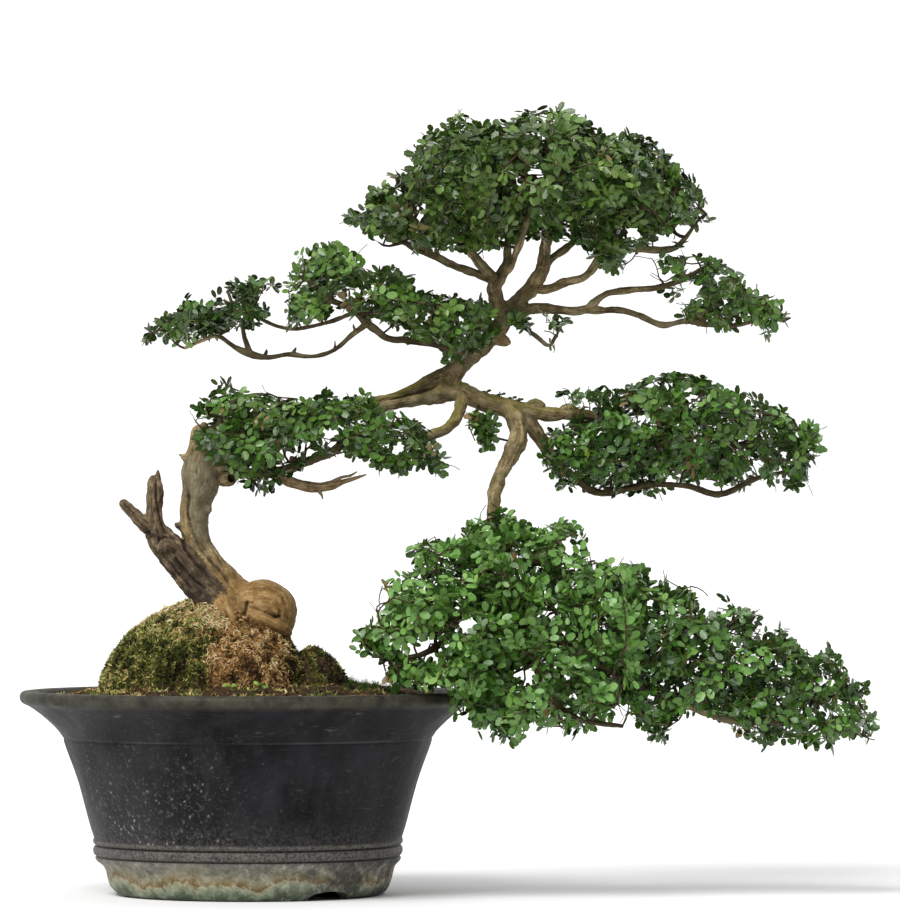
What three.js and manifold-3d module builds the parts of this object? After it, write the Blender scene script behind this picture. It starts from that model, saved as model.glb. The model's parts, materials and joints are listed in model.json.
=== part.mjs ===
// A cascading bonsai of the small-leaved Chinese pepper in its round dark pot.
// Millimetres, +Z up. Places are given from the pot's axis on the surface that it stands on,
// with +X to the right and -Y towards the viewer.

import * as THREE from 'three';
import { mergeVertices } from 'three/addons/utils/BufferGeometryUtils.js';
import Module from 'manifold-3d';

const wasm = await Module();
wasm.setup();

// Driving dimensions
const potAxisX = -173; // the tree leans out to the right, so the pot stands left of the part's middle
const rimRadius = 200;
const rimHeight = 178.5;
const lipDepth = 8.5;
const wall = 11;
const footRadius = 122.7;
const footWidth = 14;
const footHeight = 23.6;
const footRecess = 12;
const floorThickness = 13;
const drainRadius = 13;
const potSides = 28;
const archCount = 3;
const archHalfWidth = 21;
const archHeight = 11;
const archAngle = 38; // degrees to the right of the side that faces the viewer
const screenSide = 22;
const screenThickness = 1;
const soilEdgeHeight = 170;
const soilRise = 14; // from the edge to the middle
const moundCentre = [-24, 2];
const moundHeight = 82;
const moundReach = { left: 106, right: 76, deep: 94 };
const humpCentre = [58, 16];
const humpHeight = 32;
const humpReach = { left: 36, right: 36, deep: 44 };
const clearance = 0.4; // kept between two pieces that meet
const leafLength = 46;
const leafThickness = 0.9;
const leavesPerTuft = [2, 2, 1, 2, 1]; // taken in turn
const coreSize = [23, 23, 15];
const coreSides = 5;
const coreReach = 0.5; // where a leaf starts, as a share of the size of its core
const twigRadius = 1.9;

// Solids
const axisZ = new THREE.Vector3(0, 0, 1);

function seededRandom(seed) {
  let state = seed;
  return () => {
    state = (state * 1664525 + 1013904223) >>> 0;
    return state / 4294967296;
  };
}

function solidFromArrays(points, faces) {
  const vertProperties = Float32Array.from(points);
  const triVerts = Uint32Array.from(faces);
  return new wasm.Manifold(new wasm.Mesh({ numProp: 3, vertProperties, triVerts }));
}

function solidFromGeometry(geometry) {
  geometry.deleteAttribute('normal');
  geometry.deleteAttribute('uv');
  const merged = mergeVertices(geometry, 1e-4);
  const index = merged.index.array;
  const faces = [];
  for (let i = 0; i < index.length; i += 3) {
    const [a, b, c] = [index[i], index[i + 1], index[i + 2]];
    if (a !== b && b !== c && a !== c) faces.push(a, b, c);
  }
  return solidFromArrays(merged.attributes.position.array, faces);
}

function geometryFromSolid(solid) {
  const mesh = solid.getMesh();
  const geometry = new THREE.BufferGeometry();
  geometry.setAttribute('position', new THREE.BufferAttribute(mesh.vertProperties, 3));
  geometry.setIndex(new THREE.BufferAttribute(mesh.triVerts, 1));
  geometry.computeVertexNormals();
  return geometry;
}

function join(solids) {
  let joined = solids[0];
  for (const solid of solids.slice(1)) joined = joined.add(solid);
  return joined;
}

// The largest body that is left of a solid, without the scraps that a cut leaves
function mainBody(solid) {
  const bodies = solid.decompose();
  bodies.sort((a, b) => b.volume() - a.volume());
  return bodies[0];
}

// A solid through rings of points, all with the same number of points, closed by a fan at each end
function ringSolid(rings, firstTip, lastTip) {
  const sides = rings[0].length;
  const points = rings.flat().flatMap((p) => [p.x, p.y, p.z]);
  const first = rings.length * sides;
  const last = first + 1;
  points.push(firstTip.x, firstTip.y, firstTip.z, lastTip.x, lastTip.y, lastTip.z);
  const faces = [];
  for (let i = 0; i < sides; i += 1) {
    const j = (i + 1) % sides;
    for (let k = 0; k + 1 < rings.length; k += 1) {
      const here = k * sides;
      const next = here + sides;
      faces.push(here + i, here + j, next + j, here + i, next + j, next + i);
    }
    const end = (rings.length - 1) * sides;
    faces.push(first, j, i, last, end + i, end + j);
  }
  return solidFromArrays(points, faces);
}

// The pot: lip, flare, belly, two beads, foot ring and the inner wall down to the drain hole
function potProfile() {
  const innerRadius = rimRadius - wall;
  const footInner = footRadius - footWidth;
  const floorTop = footRecess + floorThickness;
  return [
    [drainRadius, footRecess],
    [footInner - 3, footRecess],
    [footInner, 0],
    [footRadius - 6.7, 0],
    [footRadius, 9],
    [footRadius + 2.7, footHeight],
    [footRadius + 9, footHeight + 5],
    [132, 35],
    [135, 40.5],
    [134.5, 46],
    [147.5, 98],
    [155, 123.5],
    [161.5, 139],
    [171, 152],
    [182, 161],
    [rimRadius - 5, rimHeight - lipDepth],
    [rimRadius, rimHeight - lipDepth + 3],
    [rimRadius, rimHeight - 2.5],
    [rimRadius - 3, rimHeight],
    [innerRadius, rimHeight - 1],
    [innerRadius - 1.5, rimHeight - lipDepth],
    [153, 139],
    [139, 98],
    [124, floorTop + 9],
    [112, floorTop],
    [drainRadius, floorTop],
    [drainRadius, footRecess],
  ].map(([r, z]) => new THREE.Vector2(r, z));
}

function footArch(turn) {
  const outline = new THREE.Shape();
  outline.moveTo(-archHalfWidth, -2);
  outline.lineTo(archHalfWidth, -2);
  outline.lineTo(archHalfWidth * 0.86, archHeight * 0.72);
  outline.lineTo(archHalfWidth * 0.55, archHeight);
  outline.lineTo(-archHalfWidth * 0.55, archHeight);
  outline.lineTo(-archHalfWidth * 0.86, archHeight * 0.72);
  const block = new THREE.ExtrudeGeometry(outline, { depth: footWidth * 2.4, bevelEnabled: false });
  block.rotateX(Math.PI / 2);
  block.translate(0, -(footRadius - footWidth * 1.7), 0);
  block.rotateZ(turn);
  return solidFromGeometry(block);
}

function potSolid() {
  let pot = solidFromGeometry(turned(potProfile()));
  for (let i = 0; i < archCount; i += 1) {
    const turn = THREE.MathUtils.degToRad(archAngle + (i * 360) / archCount);
    pot = pot.subtract(footArch(turn));
  }
  return pot;
}

// A profile of radius and height, turned round the upright axis
function turned(profile) {
  const geometry = new THREE.LatheGeometry(profile, potSides);
  geometry.rotateX(Math.PI / 2);
  return geometry;
}

// The plate of plastic net that lies over the drain hole
function screenSolid() {
  const bottom = footRecess + floorThickness + clearance;
  const sheet = new THREE.BoxGeometry(screenSide * 2, screenSide * 2, screenThickness);
  sheet.translate(0, 0, bottom + screenThickness / 2);
  let screen = solidFromGeometry(sheet);
  const holeWidth = screenSide / 4;
  for (let row = -1; row <= 1; row += 1) {
    for (let column = -1; column <= 1; column += 1) {
      const hole = new THREE.BoxGeometry(holeWidth, holeWidth, screenThickness * 3);
      hole.translate(column * holeWidth * 2, row * holeWidth * 2, bottom);
      screen = screen.subtract(solidFromGeometry(hole));
    }
  }
  return screen;
}

// The soil's surface: a dished fill with the mound under the tree and the hump beside it
function dome(x, y, centre, reach) {
  const side = x < centre[0] ? reach.left : reach.right;
  const share = Math.hypot((x - centre[0]) / side, (y - centre[1]) / reach.deep);
  return share >= 1 ? 0 : (1 - share ** 2.4) ** 0.6;
}

function soilHeight(x, y) {
  const fill = soilEdgeHeight + soilRise * (1 - (Math.hypot(x, y) / (rimRadius - wall)) ** 3);
  const mound = moundHeight * dome(x, y, moundCentre, moundReach);
  const hump = humpHeight * dome(x, y, humpCentre, humpReach);
  return fill + Math.max(mound, hump);
}

function soilSolid() {
  const rings = [];
  const ring = (radius, height) => {
    const points = [];
    for (let i = 0; i < potSides; i += 1) {
      const turn = (i / potSides) * Math.PI * 2;
      const x = radius * Math.sin(turn);
      const y = radius * Math.cos(turn);
      points.push(new THREE.Vector3(x, y, height ?? soilHeight(x, y)));
    }
    points.reverse();
    return points;
  };
  const bottom = footRecess + floorThickness + screenThickness + clearance * 2;
  rings.push(ring(111, bottom));
  rings.push(ring(123.5 - clearance, bottom + 9));
  rings.push(ring(139 - clearance * 1.2, 98.5));
  rings.push(ring(153 - clearance * 1.2, 139.5));
  rings.push(ring(186.8 - clearance * 1.2, 169.6));
  for (const radius of [146, 126, 108, 88, 62, 34]) rings.push(ring(radius));
  return ringSolid(rings, new THREE.Vector3(0, 0, bottom), new THREE.Vector3(0, 0, soilHeight(0, 0)));
}

// The wood: each limb runs through points [x, y, z, radius], and starts inside the limb that bears it
const limbs = [
  {
    name: 'trunk',
    sides: 9,
    ridges: 0.1,
    route: [
      [-2, 6, 205, 22], [-3, 4, 231, 31], [-8, 1, 255, 28], [-24, 2, 276, 15], [-41, 4, 298, 12.6],
      [-46, 5, 325, 13.5], [-45, 5, 347, 15], [-39, 4, 377, 15], [-27, 8, 399, 13.5],
      [-6, 15, 410, 12], [52, 18, 417, 10], [113, 12, 430, 8], [162, 7, 439, 8.5], [184, 5, 441, 9],
      [206, 5, 435, 8.2], [224, 5, 429, 8.5], [246, 4, 426, 6.6], [300, 6, 419, 5],
    ],
  },
  {
    name: 'trunk end',
    sides: 4,
    route: [
      [296, 6, 420, 5.2], [338, 8, 409, 4.4], [362, 10, 400, 4], [424, 14, 396, 2.9],
      [486, 12, 397, 1.6],
    ],
  },
  {
    name: 'knob',
    sides: 9,
    route: [[17, -3, 225, 16], [19, -4, 239, 25], [19, -4, 255, 26], [15, -3, 271, 17]],
  },
  {
    name: 'crest',
    sides: 7,
    route: [[-36, 0, 373, 12], [-42, -2, 395, 9.5], [-42, -3, 411, 3.5]],
  },
  {
    name: 'hollow stub',
    sides: 7,
    route: [[-34, 0, 363, 9], [-24, -8, 367, 8.5], [-13, -15, 369, 7]],
  },
  {
    name: 'second limb',
    sides: 6,
    route: [
      [98, 13, 426, 5], [118, 10, 437, 4.2], [149, 6, 450, 5], [180, 4, 467, 6.4],
      [194, 3, 475, 6.5],
    ],
  },
  {
    name: 'leader',
    sides: 7,
    route: [
      [180, 5, 441, 8], [188, 4, 458, 8.4], [205, 3, 476, 8], [224, 2, 497, 8.4], [230, 2, 517, 7.4],
    ],
  },
  {
    name: 'crown left',
    sides: 6,
    route: [
      [228, 2, 509, 7], [219, -4, 535, 7], [218, -4, 545, 6], [200, -9, 565, 4],
      [170, -26, 615, 2.3],
    ],
  },
  {
    name: 'crown far left',
    sides: 4,
    route: [[219, -4, 542, 4.2], [206, -2, 549, 3.6], [157, 9, 568, 3.1], [108, 18, 593, 1.7]],
  },
  {
    name: 'crown middle',
    sides: 4,
    route: [
      [219, -4, 539, 4.5], [227, 4, 555, 3.8], [233, 20, 583, 3.1], [237, 38, 629, 2.2],
      [233, 40, 651, 1.6],
    ],
  },
  {
    name: 'crown front',
    sides: 4,
    route: [[220, -5, 537, 4], [230, -14, 551, 3.2], [248, -42, 595, 2.2], [256, -52, 629, 1.5]],
  },
  {
    name: 'crown right',
    sides: 6,
    route: [
      [228, 2, 510, 7], [241, 5, 527, 6.8], [261, 9, 551, 6.2], [267, 15, 591, 4.4],
      [271, 19, 637, 2.8], [268, 18, 673, 1.6],
    ],
  },
  {
    name: 'crown back',
    sides: 4,
    route: [[263, 10, 556, 4], [274, 22, 565, 3.2], [314, 53, 600, 2], [330, 58, 620, 1.5]],
  },
  {
    name: 'crown far right',
    sides: 4,
    route: [
      [255, 8, 537, 4.5], [268, 2, 535, 4], [302, -14, 549, 3.3], [316, -18, 567, 3.4],
      [366, -8, 570, 2.8], [396, 2, 591, 1.5],
    ],
  },
  {
    name: 'upper shelf',
    sides: 4,
    route: [
      [227, 2, 511, 6.5], [240, 4, 517, 5.6], [298, -3, 516, 3.7], [318, -5, 530, 2.9],
      [360, -2, 536, 2.6], [416, 6, 558, 1.4],
    ],
  },
  {
    name: 'lower shelf',
    sides: 4,
    route: [[296, -3, 516, 3.4], [334, -6, 516, 2.8], [368, -11, 503, 2.7], [457, -3, 510, 1.4]],
  },
  {
    name: 'drooping twig',
    sides: 4,
    route: [[234, 0, 510, 3], [243, -4, 503, 2.3], [266, -10, 487, 1.8]],
  },
  {
    name: 'cascade',
    sides: 6,
    route: [
      [228, 4, 433, 6.5], [237, -6, 414, 6.8], [237, -15, 395, 7], [223, -30, 366, 6],
      [218, -42, 339, 5.5], [220, -52, 307, 5.1], [244, -61, 251, 4.8], [278, -64, 225, 4.5],
      [366, -66, 179, 4.1], [428, -62, 157, 3.4], [509, -56, 153, 2], [541, -52, 143, 1.4],
    ],
  },
  {
    name: 'cascade left',
    sides: 4,
    route: [
      [219, -48, 319, 4.2], [207, -57, 283, 3.7], [171, -78, 221, 3], [145, -92, 211, 2.3],
      [120, -100, 213, 1.6],
    ],
  },
  {
    name: 'cascade low',
    sides: 4,
    route: [[236, -59, 261, 4], [252, -78, 211, 3.4], [270, -87, 173, 2.9], [330, -86, 152, 1.8]],
  },
  {
    name: 'cascade top',
    sides: 4,
    route: [
      [224, -54, 290, 4], [247, -46, 294, 3.2], [304, -30, 273, 2.7], [392, -26, 232, 2],
      [438, -30, 211, 1.4],
    ],
  },
  {
    name: 'right shelf',
    sides: 4,
    route: [
      [242, 6, 427, 6], [257, 12, 405, 6], [279, 17, 378, 4.2], [320, 9, 358, 3.3],
      [404, 2, 361, 2.7], [433, 0, 357, 2.4], [482, 0, 377, 1.4],
    ],
  },
  {
    name: 'hanging limb',
    sides: 6,
    route: [
      [191, 3, 441, 5.4], [189, -4, 429, 5], [183, -12, 417, 4.9], [160, -24, 402, 3],
      [136, -30, 378, 1.6],
    ],
  },
  {
    name: 'low shelf',
    sides: 6,
    route: [
      [-34, -2, 371, 8], [-20, -9, 369, 6.5], [-5, -15, 365, 5.2], [35, -25, 375, 4.5],
      [79, -30, 392, 3.9], [91, -30, 401, 3.2], [137, -26, 417, 1.8],
    ],
  },
  {
    name: 'bare branch',
    sides: 6,
    route: [
      [17, -22, 371, 4.2], [32, -22, 365, 4.6], [56, -23, 360, 4.7], [78, -24, 361, 3.4],
      [106, -24, 370, 1],
    ],
  },
  {
    name: 'low shelf back',
    sides: 4,
    route: [[-34, 6, 395, 6], [-27, -6, 407, 4], [-6, -24, 435, 2.4], [13, -28, 440, 1.8]],
  },
  {
    name: 'left arm',
    sides: 4,
    route: [
      [205, 2, 475, 5.6], [178, -10, 484, 4], [160, -13, 488, 3.4], [127, -11, 490, 3.2],
      [106, -8, 506, 3.5], [77, -7, 524, 2.5], [50, -7, 547, 1.5],
    ],
  },
  {
    name: 'long arm',
    sides: 4,
    route: [
      [108, -8, 505, 3.2], [82, -13, 484, 2.7], [55, -13, 474, 2.7], [37, -13, 477, 2.7],
      [4, -15, 477, 3.5], [-26, -17, 492, 2.4], [-56, -21, 482, 1.3],
    ],
  },
  {
    name: 'long arm tip',
    sides: 4,
    route: [[4, -15, 477, 3], [-4, -11, 501, 2.2], [-16, -8, 527, 1.4]],
  },
  {
    name: 'high arm',
    sides: 4,
    route: [
      [95, -6, 515, 2.8], [70, 5, 506, 2.2], [44, 7, 500, 2.1], [20, 7, 504, 2.1],
      [-19, 7, 524, 1.2],
    ],
  },
  {
    name: 'deadwood',
    sides: 8,
    ridges: 0.14,
    route: [
      [-8, -4, 253, 16], [-39, -7, 272, 13.6], [-67, -8, 303, 11.4], [-79, -8, 321, 8.6],
      [-81, -8, 344, 7.4], [-80, -8, 361, 6.2], [-78, -8, 372, 2.6],
    ],
  },
  {
    name: 'deadwood prong',
    sides: 6,
    ridges: 0.12,
    route: [[-75, -8, 312, 7.5], [-88, -9, 325, 6.2], [-103, -12, 339, 4.8], [-111, -14, 347, 3]],
  },
  {
    name: 'deadwood knot',
    sides: 7,
    route: [[-68, -10, 303, 8], [-70, -18, 307, 8], [-70, -23, 308, 5.5]],
  },
  {
    name: 'dark knob',
    sides: 6,
    route: [[-56, 4, 325, 6], [-62, 2, 326, 6], [-67, 1, 327, 3.5]],
  },
  {
    name: 'folded root',
    sides: 6,
    route: [
      [-6, -20, 259, 8], [4, -25, 252, 7], [26, -24, 237, 7], [36, -16, 231, 6.5],
      [42, -6, 225, 4.4],
    ],
  },
  {
    name: 'front root',
    sides: 6,
    route: [[-13, -16, 253, 12], [-20, -30, 239, 7.5], [-30, -50, 211, 4]],
  },
  {
    name: 'right root',
    sides: 6,
    route: [[3, -20, 245, 10], [9, -40, 229, 6.2], [22, -56, 203, 3.6]],
  },
  {
    name: 'left root',
    sides: 6,
    route: [[-22, 10, 253, 11], [-38, 24, 242, 7], [-62, 44, 213, 3.8]],
  },
  {
    name: 'back root',
    sides: 6,
    route: [[3, 14, 249, 12], [14, 32, 237, 7.5], [34, 52, 209, 3.8]],
  },
];

function limbSolid(limb, grow) {
  const { route, sides, ridges = 0 } = limb;
  const places = route.map(([x, y, z]) => new THREE.Vector3(x, y, z));
  const curve = new THREE.CatmullRomCurve3(places, false, 'centripetal');
  const normal = new THREE.Vector3(0.2, -1, 0.1);
  const rings = [];
  const last = route.length - 1;
  for (let k = 0; k <= last; k += 1) {
    const centre = curve.getPoint(k / last);
    const tangent = curve.getTangent(k / last);
    if (k === 0) centre.addScaledVector(tangent, -grow);
    if (k === last) centre.addScaledVector(tangent, grow);
    normal.addScaledVector(tangent, -normal.dot(tangent)).normalize();
    const across = new THREE.Vector3().crossVectors(tangent, normal);
    const radius = route[k][3] + grow;
    const ring = [];
    for (let i = 0; i < sides; i += 1) {
      const turn = (i / sides) * Math.PI * 2;
      const ridge = 1 + ridges * Math.cos(3 * turn + k * 0.5);
      const point = centre.clone();
      point.addScaledVector(normal, Math.cos(turn) * radius * ridge);
      point.addScaledVector(across, Math.sin(turn) * radius * ridge);
      ring.push(point);
    }
    rings.push(ring);
  }
  const firstTip = curve.getPoint(0).addScaledVector(curve.getTangent(0), -grow - route[0][3] * 0.3);
  const lastTip = curve.getPoint(1).addScaledVector(curve.getTangent(1), grow + route[last][3] * 0.6);
  return ringSolid(rings, firstTip, lastTip);
}

function woodSolid(grow) {
  return join(limbs.map((limb) => limbSolid(limb, grow)));
}

// The foliage: each leafy part of the tree has a foot on its limb and the middles of its leaf tufts
const foliage = [
  {
    name: 'crown_left_leaves',
    foot: [157, 9, 568],
    tufts: [
      [120, 10, 599], [142, -32, 624], [146, 42, 595], [168, 4, 654], [184, 52, 627],
      [184, -54, 597],
    ],
  },
  {
    name: 'crown_top_leaves',
    foot: [269, 17, 609],
    tufts: [
      [284, 4, 610], [264, 56, 633], [300, -48, 631], [262, -66, 651], [246, -14, 663],
      [300, 22, 661], [308, 66, 605], [216, -44, 639], [222, 30, 651],
    ],
  },
  {
    name: 'crown_right_leaves',
    foot: [330, -18, 570],
    tufts: [[340, -15, 585], [348, -56, 611], [338, 8, 644], [362, 46, 621], [380, -10, 611]],
  },
  {
    name: 'upper_shelf_leaves',
    foot: [360, -2, 536],
    tufts: [[384, 18, 529], [406, -22, 539], [432, 16, 521], [452, -4, 513]],
  },
  {
    name: 'drooping_spray',
    foot: [266, -10, 487],
    leafShare: 0.6,
    tufts: [[272, -14, 496]],
  },
  {
    name: 'right_shelf_leaves',
    foot: [305, 6, 419],
    tufts: [
      [309, 4, 403], [330, 38, 385], [346, -34, 429], [372, 40, 407], [392, -45, 391],
      [400, 8, 435], [436, -16, 423], [440, 36, 389], [476, -4, 389],
    ],
  },
  {
    name: 'cascade_left_leaves',
    foot: [171, -78, 221],
    tufts: [[166, -112, 225], [128, -95, 247], [138, -133, 207], [158, -66, 273], [184, -140, 185]],
  },
  {
    name: 'cascade_middle_leaves',
    foot: [244, -61, 251],
    tufts: [
      [258, -85, 265], [232, -20, 293], [276, -16, 289], [250, -122, 216], [306, -42, 241],
      [300, -116, 191], [246, -132, 171],
    ],
  },
  {
    name: 'cascade_right_leaves',
    foot: [400, -64, 166],
    tufts: [
      [376, -95, 195], [364, -20, 237], [412, -34, 217], [428, -90, 175], [456, -22, 199],
      [482, -76, 169], [508, -42, 177],
    ],
  },
  {
    name: 'far_left_leaves',
    foot: [-26, -17, 492],
    tufts: [[-17, -35, 508], [-42, 2, 516], [-68, -20, 502], [2, 10, 526]],
  },
  {
    name: 'left_arm_leaves',
    foot: [106, -8, 506],
    tufts: [
      [112, 18, 531], [82, -20, 558], [58, 2, 540], [140, -26, 517], [162, 20, 507],
      [190, -20, 505],
    ],
  },
  {
    name: 'low_shelf_leaves',
    foot: [13, -21, 370],
    tufts: [
      [18, -46, 395], [-18, -40, 413], [20, -4, 423], [52, -58, 403], [66, -14, 425],
      [98, -52, 411], [126, -18, 411], [152, -42, 391],
    ],
  },
  {
    name: 'hanging_spray',
    foot: [189, -4, 429],
    leafShare: 0.6,
    tufts: [[202, -20, 409]],
  },
];

// One half of a leaf's outline, sideways and along in shares of its length: its stalk, two leaflets
// and half the end one
const halfLeaf = [
  [0.03, 0], [0.03, 0.12], [0.42, 0.36], [0.07, 0.42], [0.4, 0.67], [0.07, 0.7], [0.21, 0.87],
];

// The plain outline round a leaf that is kept free for it
const halfRoom = [[0.05, 0.06], [0.45, 0.34], [0.43, 0.7], [0.24, 0.92]];

function fullOutline(half, tip) {
  const right = half.map(([side, along]) => new THREE.Vector2(side, along));
  const left = half.map(([side, along]) => new THREE.Vector2(-side, along)).reverse();
  const points = [...right, new THREE.Vector2(0, tip), ...left];
  return { points, triangles: THREE.ShapeUtils.triangulateShape(points, []) };
}

const leafOutline = fullOutline(halfLeaf, 1);
const roomOutline = fullOutline(halfRoom, 1.04);

// A thin arched blade with its leaflets cut to the rib, split into triangles alike on both faces
function bladeSolid(outline, frame, length, thickness) {
  const points = [];
  const count = outline.points.length;
  for (const face of [thickness / 2, -thickness / 2]) {
    for (const { x, y } of outline.points) {
      const arch = length * (0.22 * y - 0.34 * y * y - 0.3 * x * x);
      const point = new THREE.Vector3(x * length, y * length, arch + face).applyMatrix4(frame);
      points.push(point.x, point.y, point.z);
    }
  }
  const faces = [];
  for (const [a, b, c] of outline.triangles) faces.push(a, b, c, count + a, count + c, count + b);
  for (let i = 0; i < count; i += 1) {
    const j = (i + 1) % count;
    faces.push(i, count + i, count + j, i, count + j, j);
  }
  return solidFromArrays(points, faces);
}

// A leaf points out from its tuft and holds its face as level as that lets it
function leafFrame(tuft, direction, roll, share) {
  const side = new THREE.Vector3().crossVectors(direction, axisZ).normalize();
  const up = new THREE.Vector3().crossVectors(side, direction);
  const frame = new THREE.Matrix4().makeBasis(side, direction, up);
  frame.multiply(new THREE.Matrix4().makeRotationY(roll));
  const size = Math.hypot(direction.x * coreSize[0], direction.y * coreSize[1], direction.z * coreSize[2]);
  frame.setPosition(tuft.clone().addScaledVector(direction, size * coreReach * share));
  return frame;
}

function coreSolid(tuft, share, random) {
  const ring = [];
  const start = random() * Math.PI;
  for (let i = 0; i < coreSides; i += 1) {
    const turn = start + (i / coreSides) * Math.PI * 2;
    const radius = share * (0.8 + 0.3 * random());
    const rise = coreSize[2] * share * 0.4 * (random() - 0.5);
    const x = Math.cos(turn) * radius * coreSize[0];
    const y = Math.sin(turn) * radius * coreSize[1];
    ring.push(new THREE.Vector3(x, y, rise).add(tuft));
  }
  const bottom = tuft.clone().addScaledVector(axisZ, -coreSize[2] * share);
  const top = tuft.clone().addScaledVector(axisZ, coreSize[2] * share);
  return ringSolid([ring], bottom, top);
}

function twigSolid(from, to, bend) {
  const places = bend.length() > 0 ? [from, from.clone().lerp(to, 0.5).add(bend), to] : [from, to];
  const route = places.map((place) => [place.x, place.y, place.z, twigRadius]);
  return limbSolid({ route, sides: 3 }, 0);
}

// A tuft's core and the twig that bears it, bent where a limb would cut it off from the tufts before it
function hungTuft(framework, core, tuft, places, woodSpace) {
  const ranked = [...places].sort((a, b) => a.distanceTo(tuft) - b.distanceTo(tuft)).slice(0, 4);
  let best = null;
  let bestShare = 0;
  for (const bend of [[0, 0, 0], [0, 0, 12], [0, 0, -12], [0, 14, 0], [0, -14, 0]]) {
    for (const place of ranked) {
      const twig = twigSolid(place, tuft, new THREE.Vector3(...bend));
      const added = core.add(twig).subtract(woodSpace);
      const whole = framework === null ? added : framework.add(added);
      const kept = mainBody(whole);
      const share = kept.volume() / whole.volume();
      if (share > 0.995) return kept;
      if (share > bestShare) [best, bestShare] = [kept, share];
    }
  }
  return best;
}

// The twigs and tuft cores of a leafy part, each tuft hung on the nearest one before it
function frameworkSolid(part, random, woodSpace) {
  const places = [new THREE.Vector3(...part.foot)];
  const cores = [];
  let solid = null;
  for (const spot of part.tufts) {
    const tuft = new THREE.Vector3(...spot);
    const core = coreSolid(tuft, part.leafShare ?? 1, random);
    solid = hungTuft(solid, core, tuft, places, woodSpace);
    places.push(tuft);
    cores.push(core);
  }
  return { solid, cores };
}

// The leaves of a leafy part, which point out of their tufts on all sides and keep clear of each other
function leavesSolid(part, cores, random, blockers) {
  const share = part.leafShare ?? 1;
  let leaves = null;
  part.tufts.forEach((spot, index) => {
    const tuft = new THREE.Vector3(...spot);
    const wanted = leavesPerTuft[index % leavesPerTuft.length];
    const nearby = join([blockers, ...cores.filter((_, other) => other !== index)]);
    let grown = 0;
    let turn = random() * Math.PI * 2;
    for (let attempt = 0; attempt < 40 && grown < wanted; attempt += 1) {
      const climb = -0.45 + 1.3 * random();
      const flat = Math.cos(climb);
      const direction = new THREE.Vector3(Math.cos(turn) * flat, Math.sin(turn) * flat, Math.sin(climb));
      const frame = leafFrame(tuft, direction, 0.5 * (random() - 0.5), share);
      const length = leafLength * share * (0.88 + 0.24 * random());
      const room = bladeSolid(roomOutline, frame, length, leafThickness + 2 * clearance + 0.6);
      const clearOfLeaves = leaves === null || room.intersect(leaves).isEmpty();
      const free = clearOfLeaves && room.intersect(nearby).isEmpty();
      turn += free ? (Math.PI * 2) / wanted : 0.61;
      if (free) {
        const leaf = bladeSolid(leafOutline, frame, length, leafThickness);
        leaves = leaves === null ? leaf : leaves.add(leaf);
        grown += 1;
      }
    }
  });
  return leaves;
}

// Assembly
const colours = {
  pot: [0x39363a, 0.62],
  drain_screen: [0x2f5a3a, 0.7],
  soil: [0x5a4c28, 0.95],
  wood: [0x8d6f49, 0.85],
  leaves: [0x3f7430, 0.42],
};

const part = new THREE.Group();
part.position.x = potAxisX;

function addPiece(name, solid, [colour, roughness]) {
  const material = new THREE.MeshStandardMaterial({ color: colour, roughness, metalness: 0 });
  const mesh = new THREE.Mesh(geometryFromSolid(solid), material);
  mesh.name = name;
  part.add(mesh);
}

const wood = mainBody(woodSolid(0));
const woodSpace = woodSolid(clearance);
const pot = potSolid();
const soil = mainBody(soilSolid().subtract(woodSpace));
const random = seededRandom(7);

addPiece('pot', pot, colours.pot);
addPiece('drain_screen', screenSolid(), colours.drain_screen);
addPiece('soil', soil, colours.soil);
addPiece('wood', wood, colours.wood);

const frameworks = foliage.map((leafyPart) => frameworkSolid(leafyPart, random, woodSpace));
let solidSoFar = join([wood, pot, soil]);
foliage.forEach((leafyPart, index) => {
  const { solid, cores } = frameworks[index];
  const others = frameworks.filter((_, other) => other !== index).map((framework) => framework.solid);
  const leaves = leavesSolid(leafyPart, cores, random, join([solidSoFar, ...others]));
  const leafy = mainBody(solid.add(leaves).subtract(woodSpace));
  solidSoFar = solidSoFar.add(leafy);
  addPiece(leafyPart.name, leafy, colours.leaves);
});

export default part;
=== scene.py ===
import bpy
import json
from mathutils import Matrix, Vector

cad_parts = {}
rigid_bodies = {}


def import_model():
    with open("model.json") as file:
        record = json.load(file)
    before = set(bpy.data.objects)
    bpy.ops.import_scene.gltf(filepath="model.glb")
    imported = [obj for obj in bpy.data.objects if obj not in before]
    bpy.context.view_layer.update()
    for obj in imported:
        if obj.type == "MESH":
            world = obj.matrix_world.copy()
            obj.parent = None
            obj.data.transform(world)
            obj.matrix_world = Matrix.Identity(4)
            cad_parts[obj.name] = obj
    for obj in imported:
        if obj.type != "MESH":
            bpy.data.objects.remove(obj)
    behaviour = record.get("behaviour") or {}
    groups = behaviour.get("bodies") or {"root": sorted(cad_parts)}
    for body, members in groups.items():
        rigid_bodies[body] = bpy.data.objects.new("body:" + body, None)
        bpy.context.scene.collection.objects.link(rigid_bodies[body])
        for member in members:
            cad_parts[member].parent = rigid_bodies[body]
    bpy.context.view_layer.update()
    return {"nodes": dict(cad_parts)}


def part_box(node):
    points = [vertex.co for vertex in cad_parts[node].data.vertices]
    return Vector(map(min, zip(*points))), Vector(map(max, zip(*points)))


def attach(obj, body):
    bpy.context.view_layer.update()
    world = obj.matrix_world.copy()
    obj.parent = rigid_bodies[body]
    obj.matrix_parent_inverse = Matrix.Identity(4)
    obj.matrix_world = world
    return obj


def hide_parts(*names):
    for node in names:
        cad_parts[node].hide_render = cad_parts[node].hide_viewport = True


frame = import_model()

import json
import math
import random

import bmesh
import bpy
import numpy as np
from mathutils import Matrix, Vector, kdtree, noise

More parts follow.
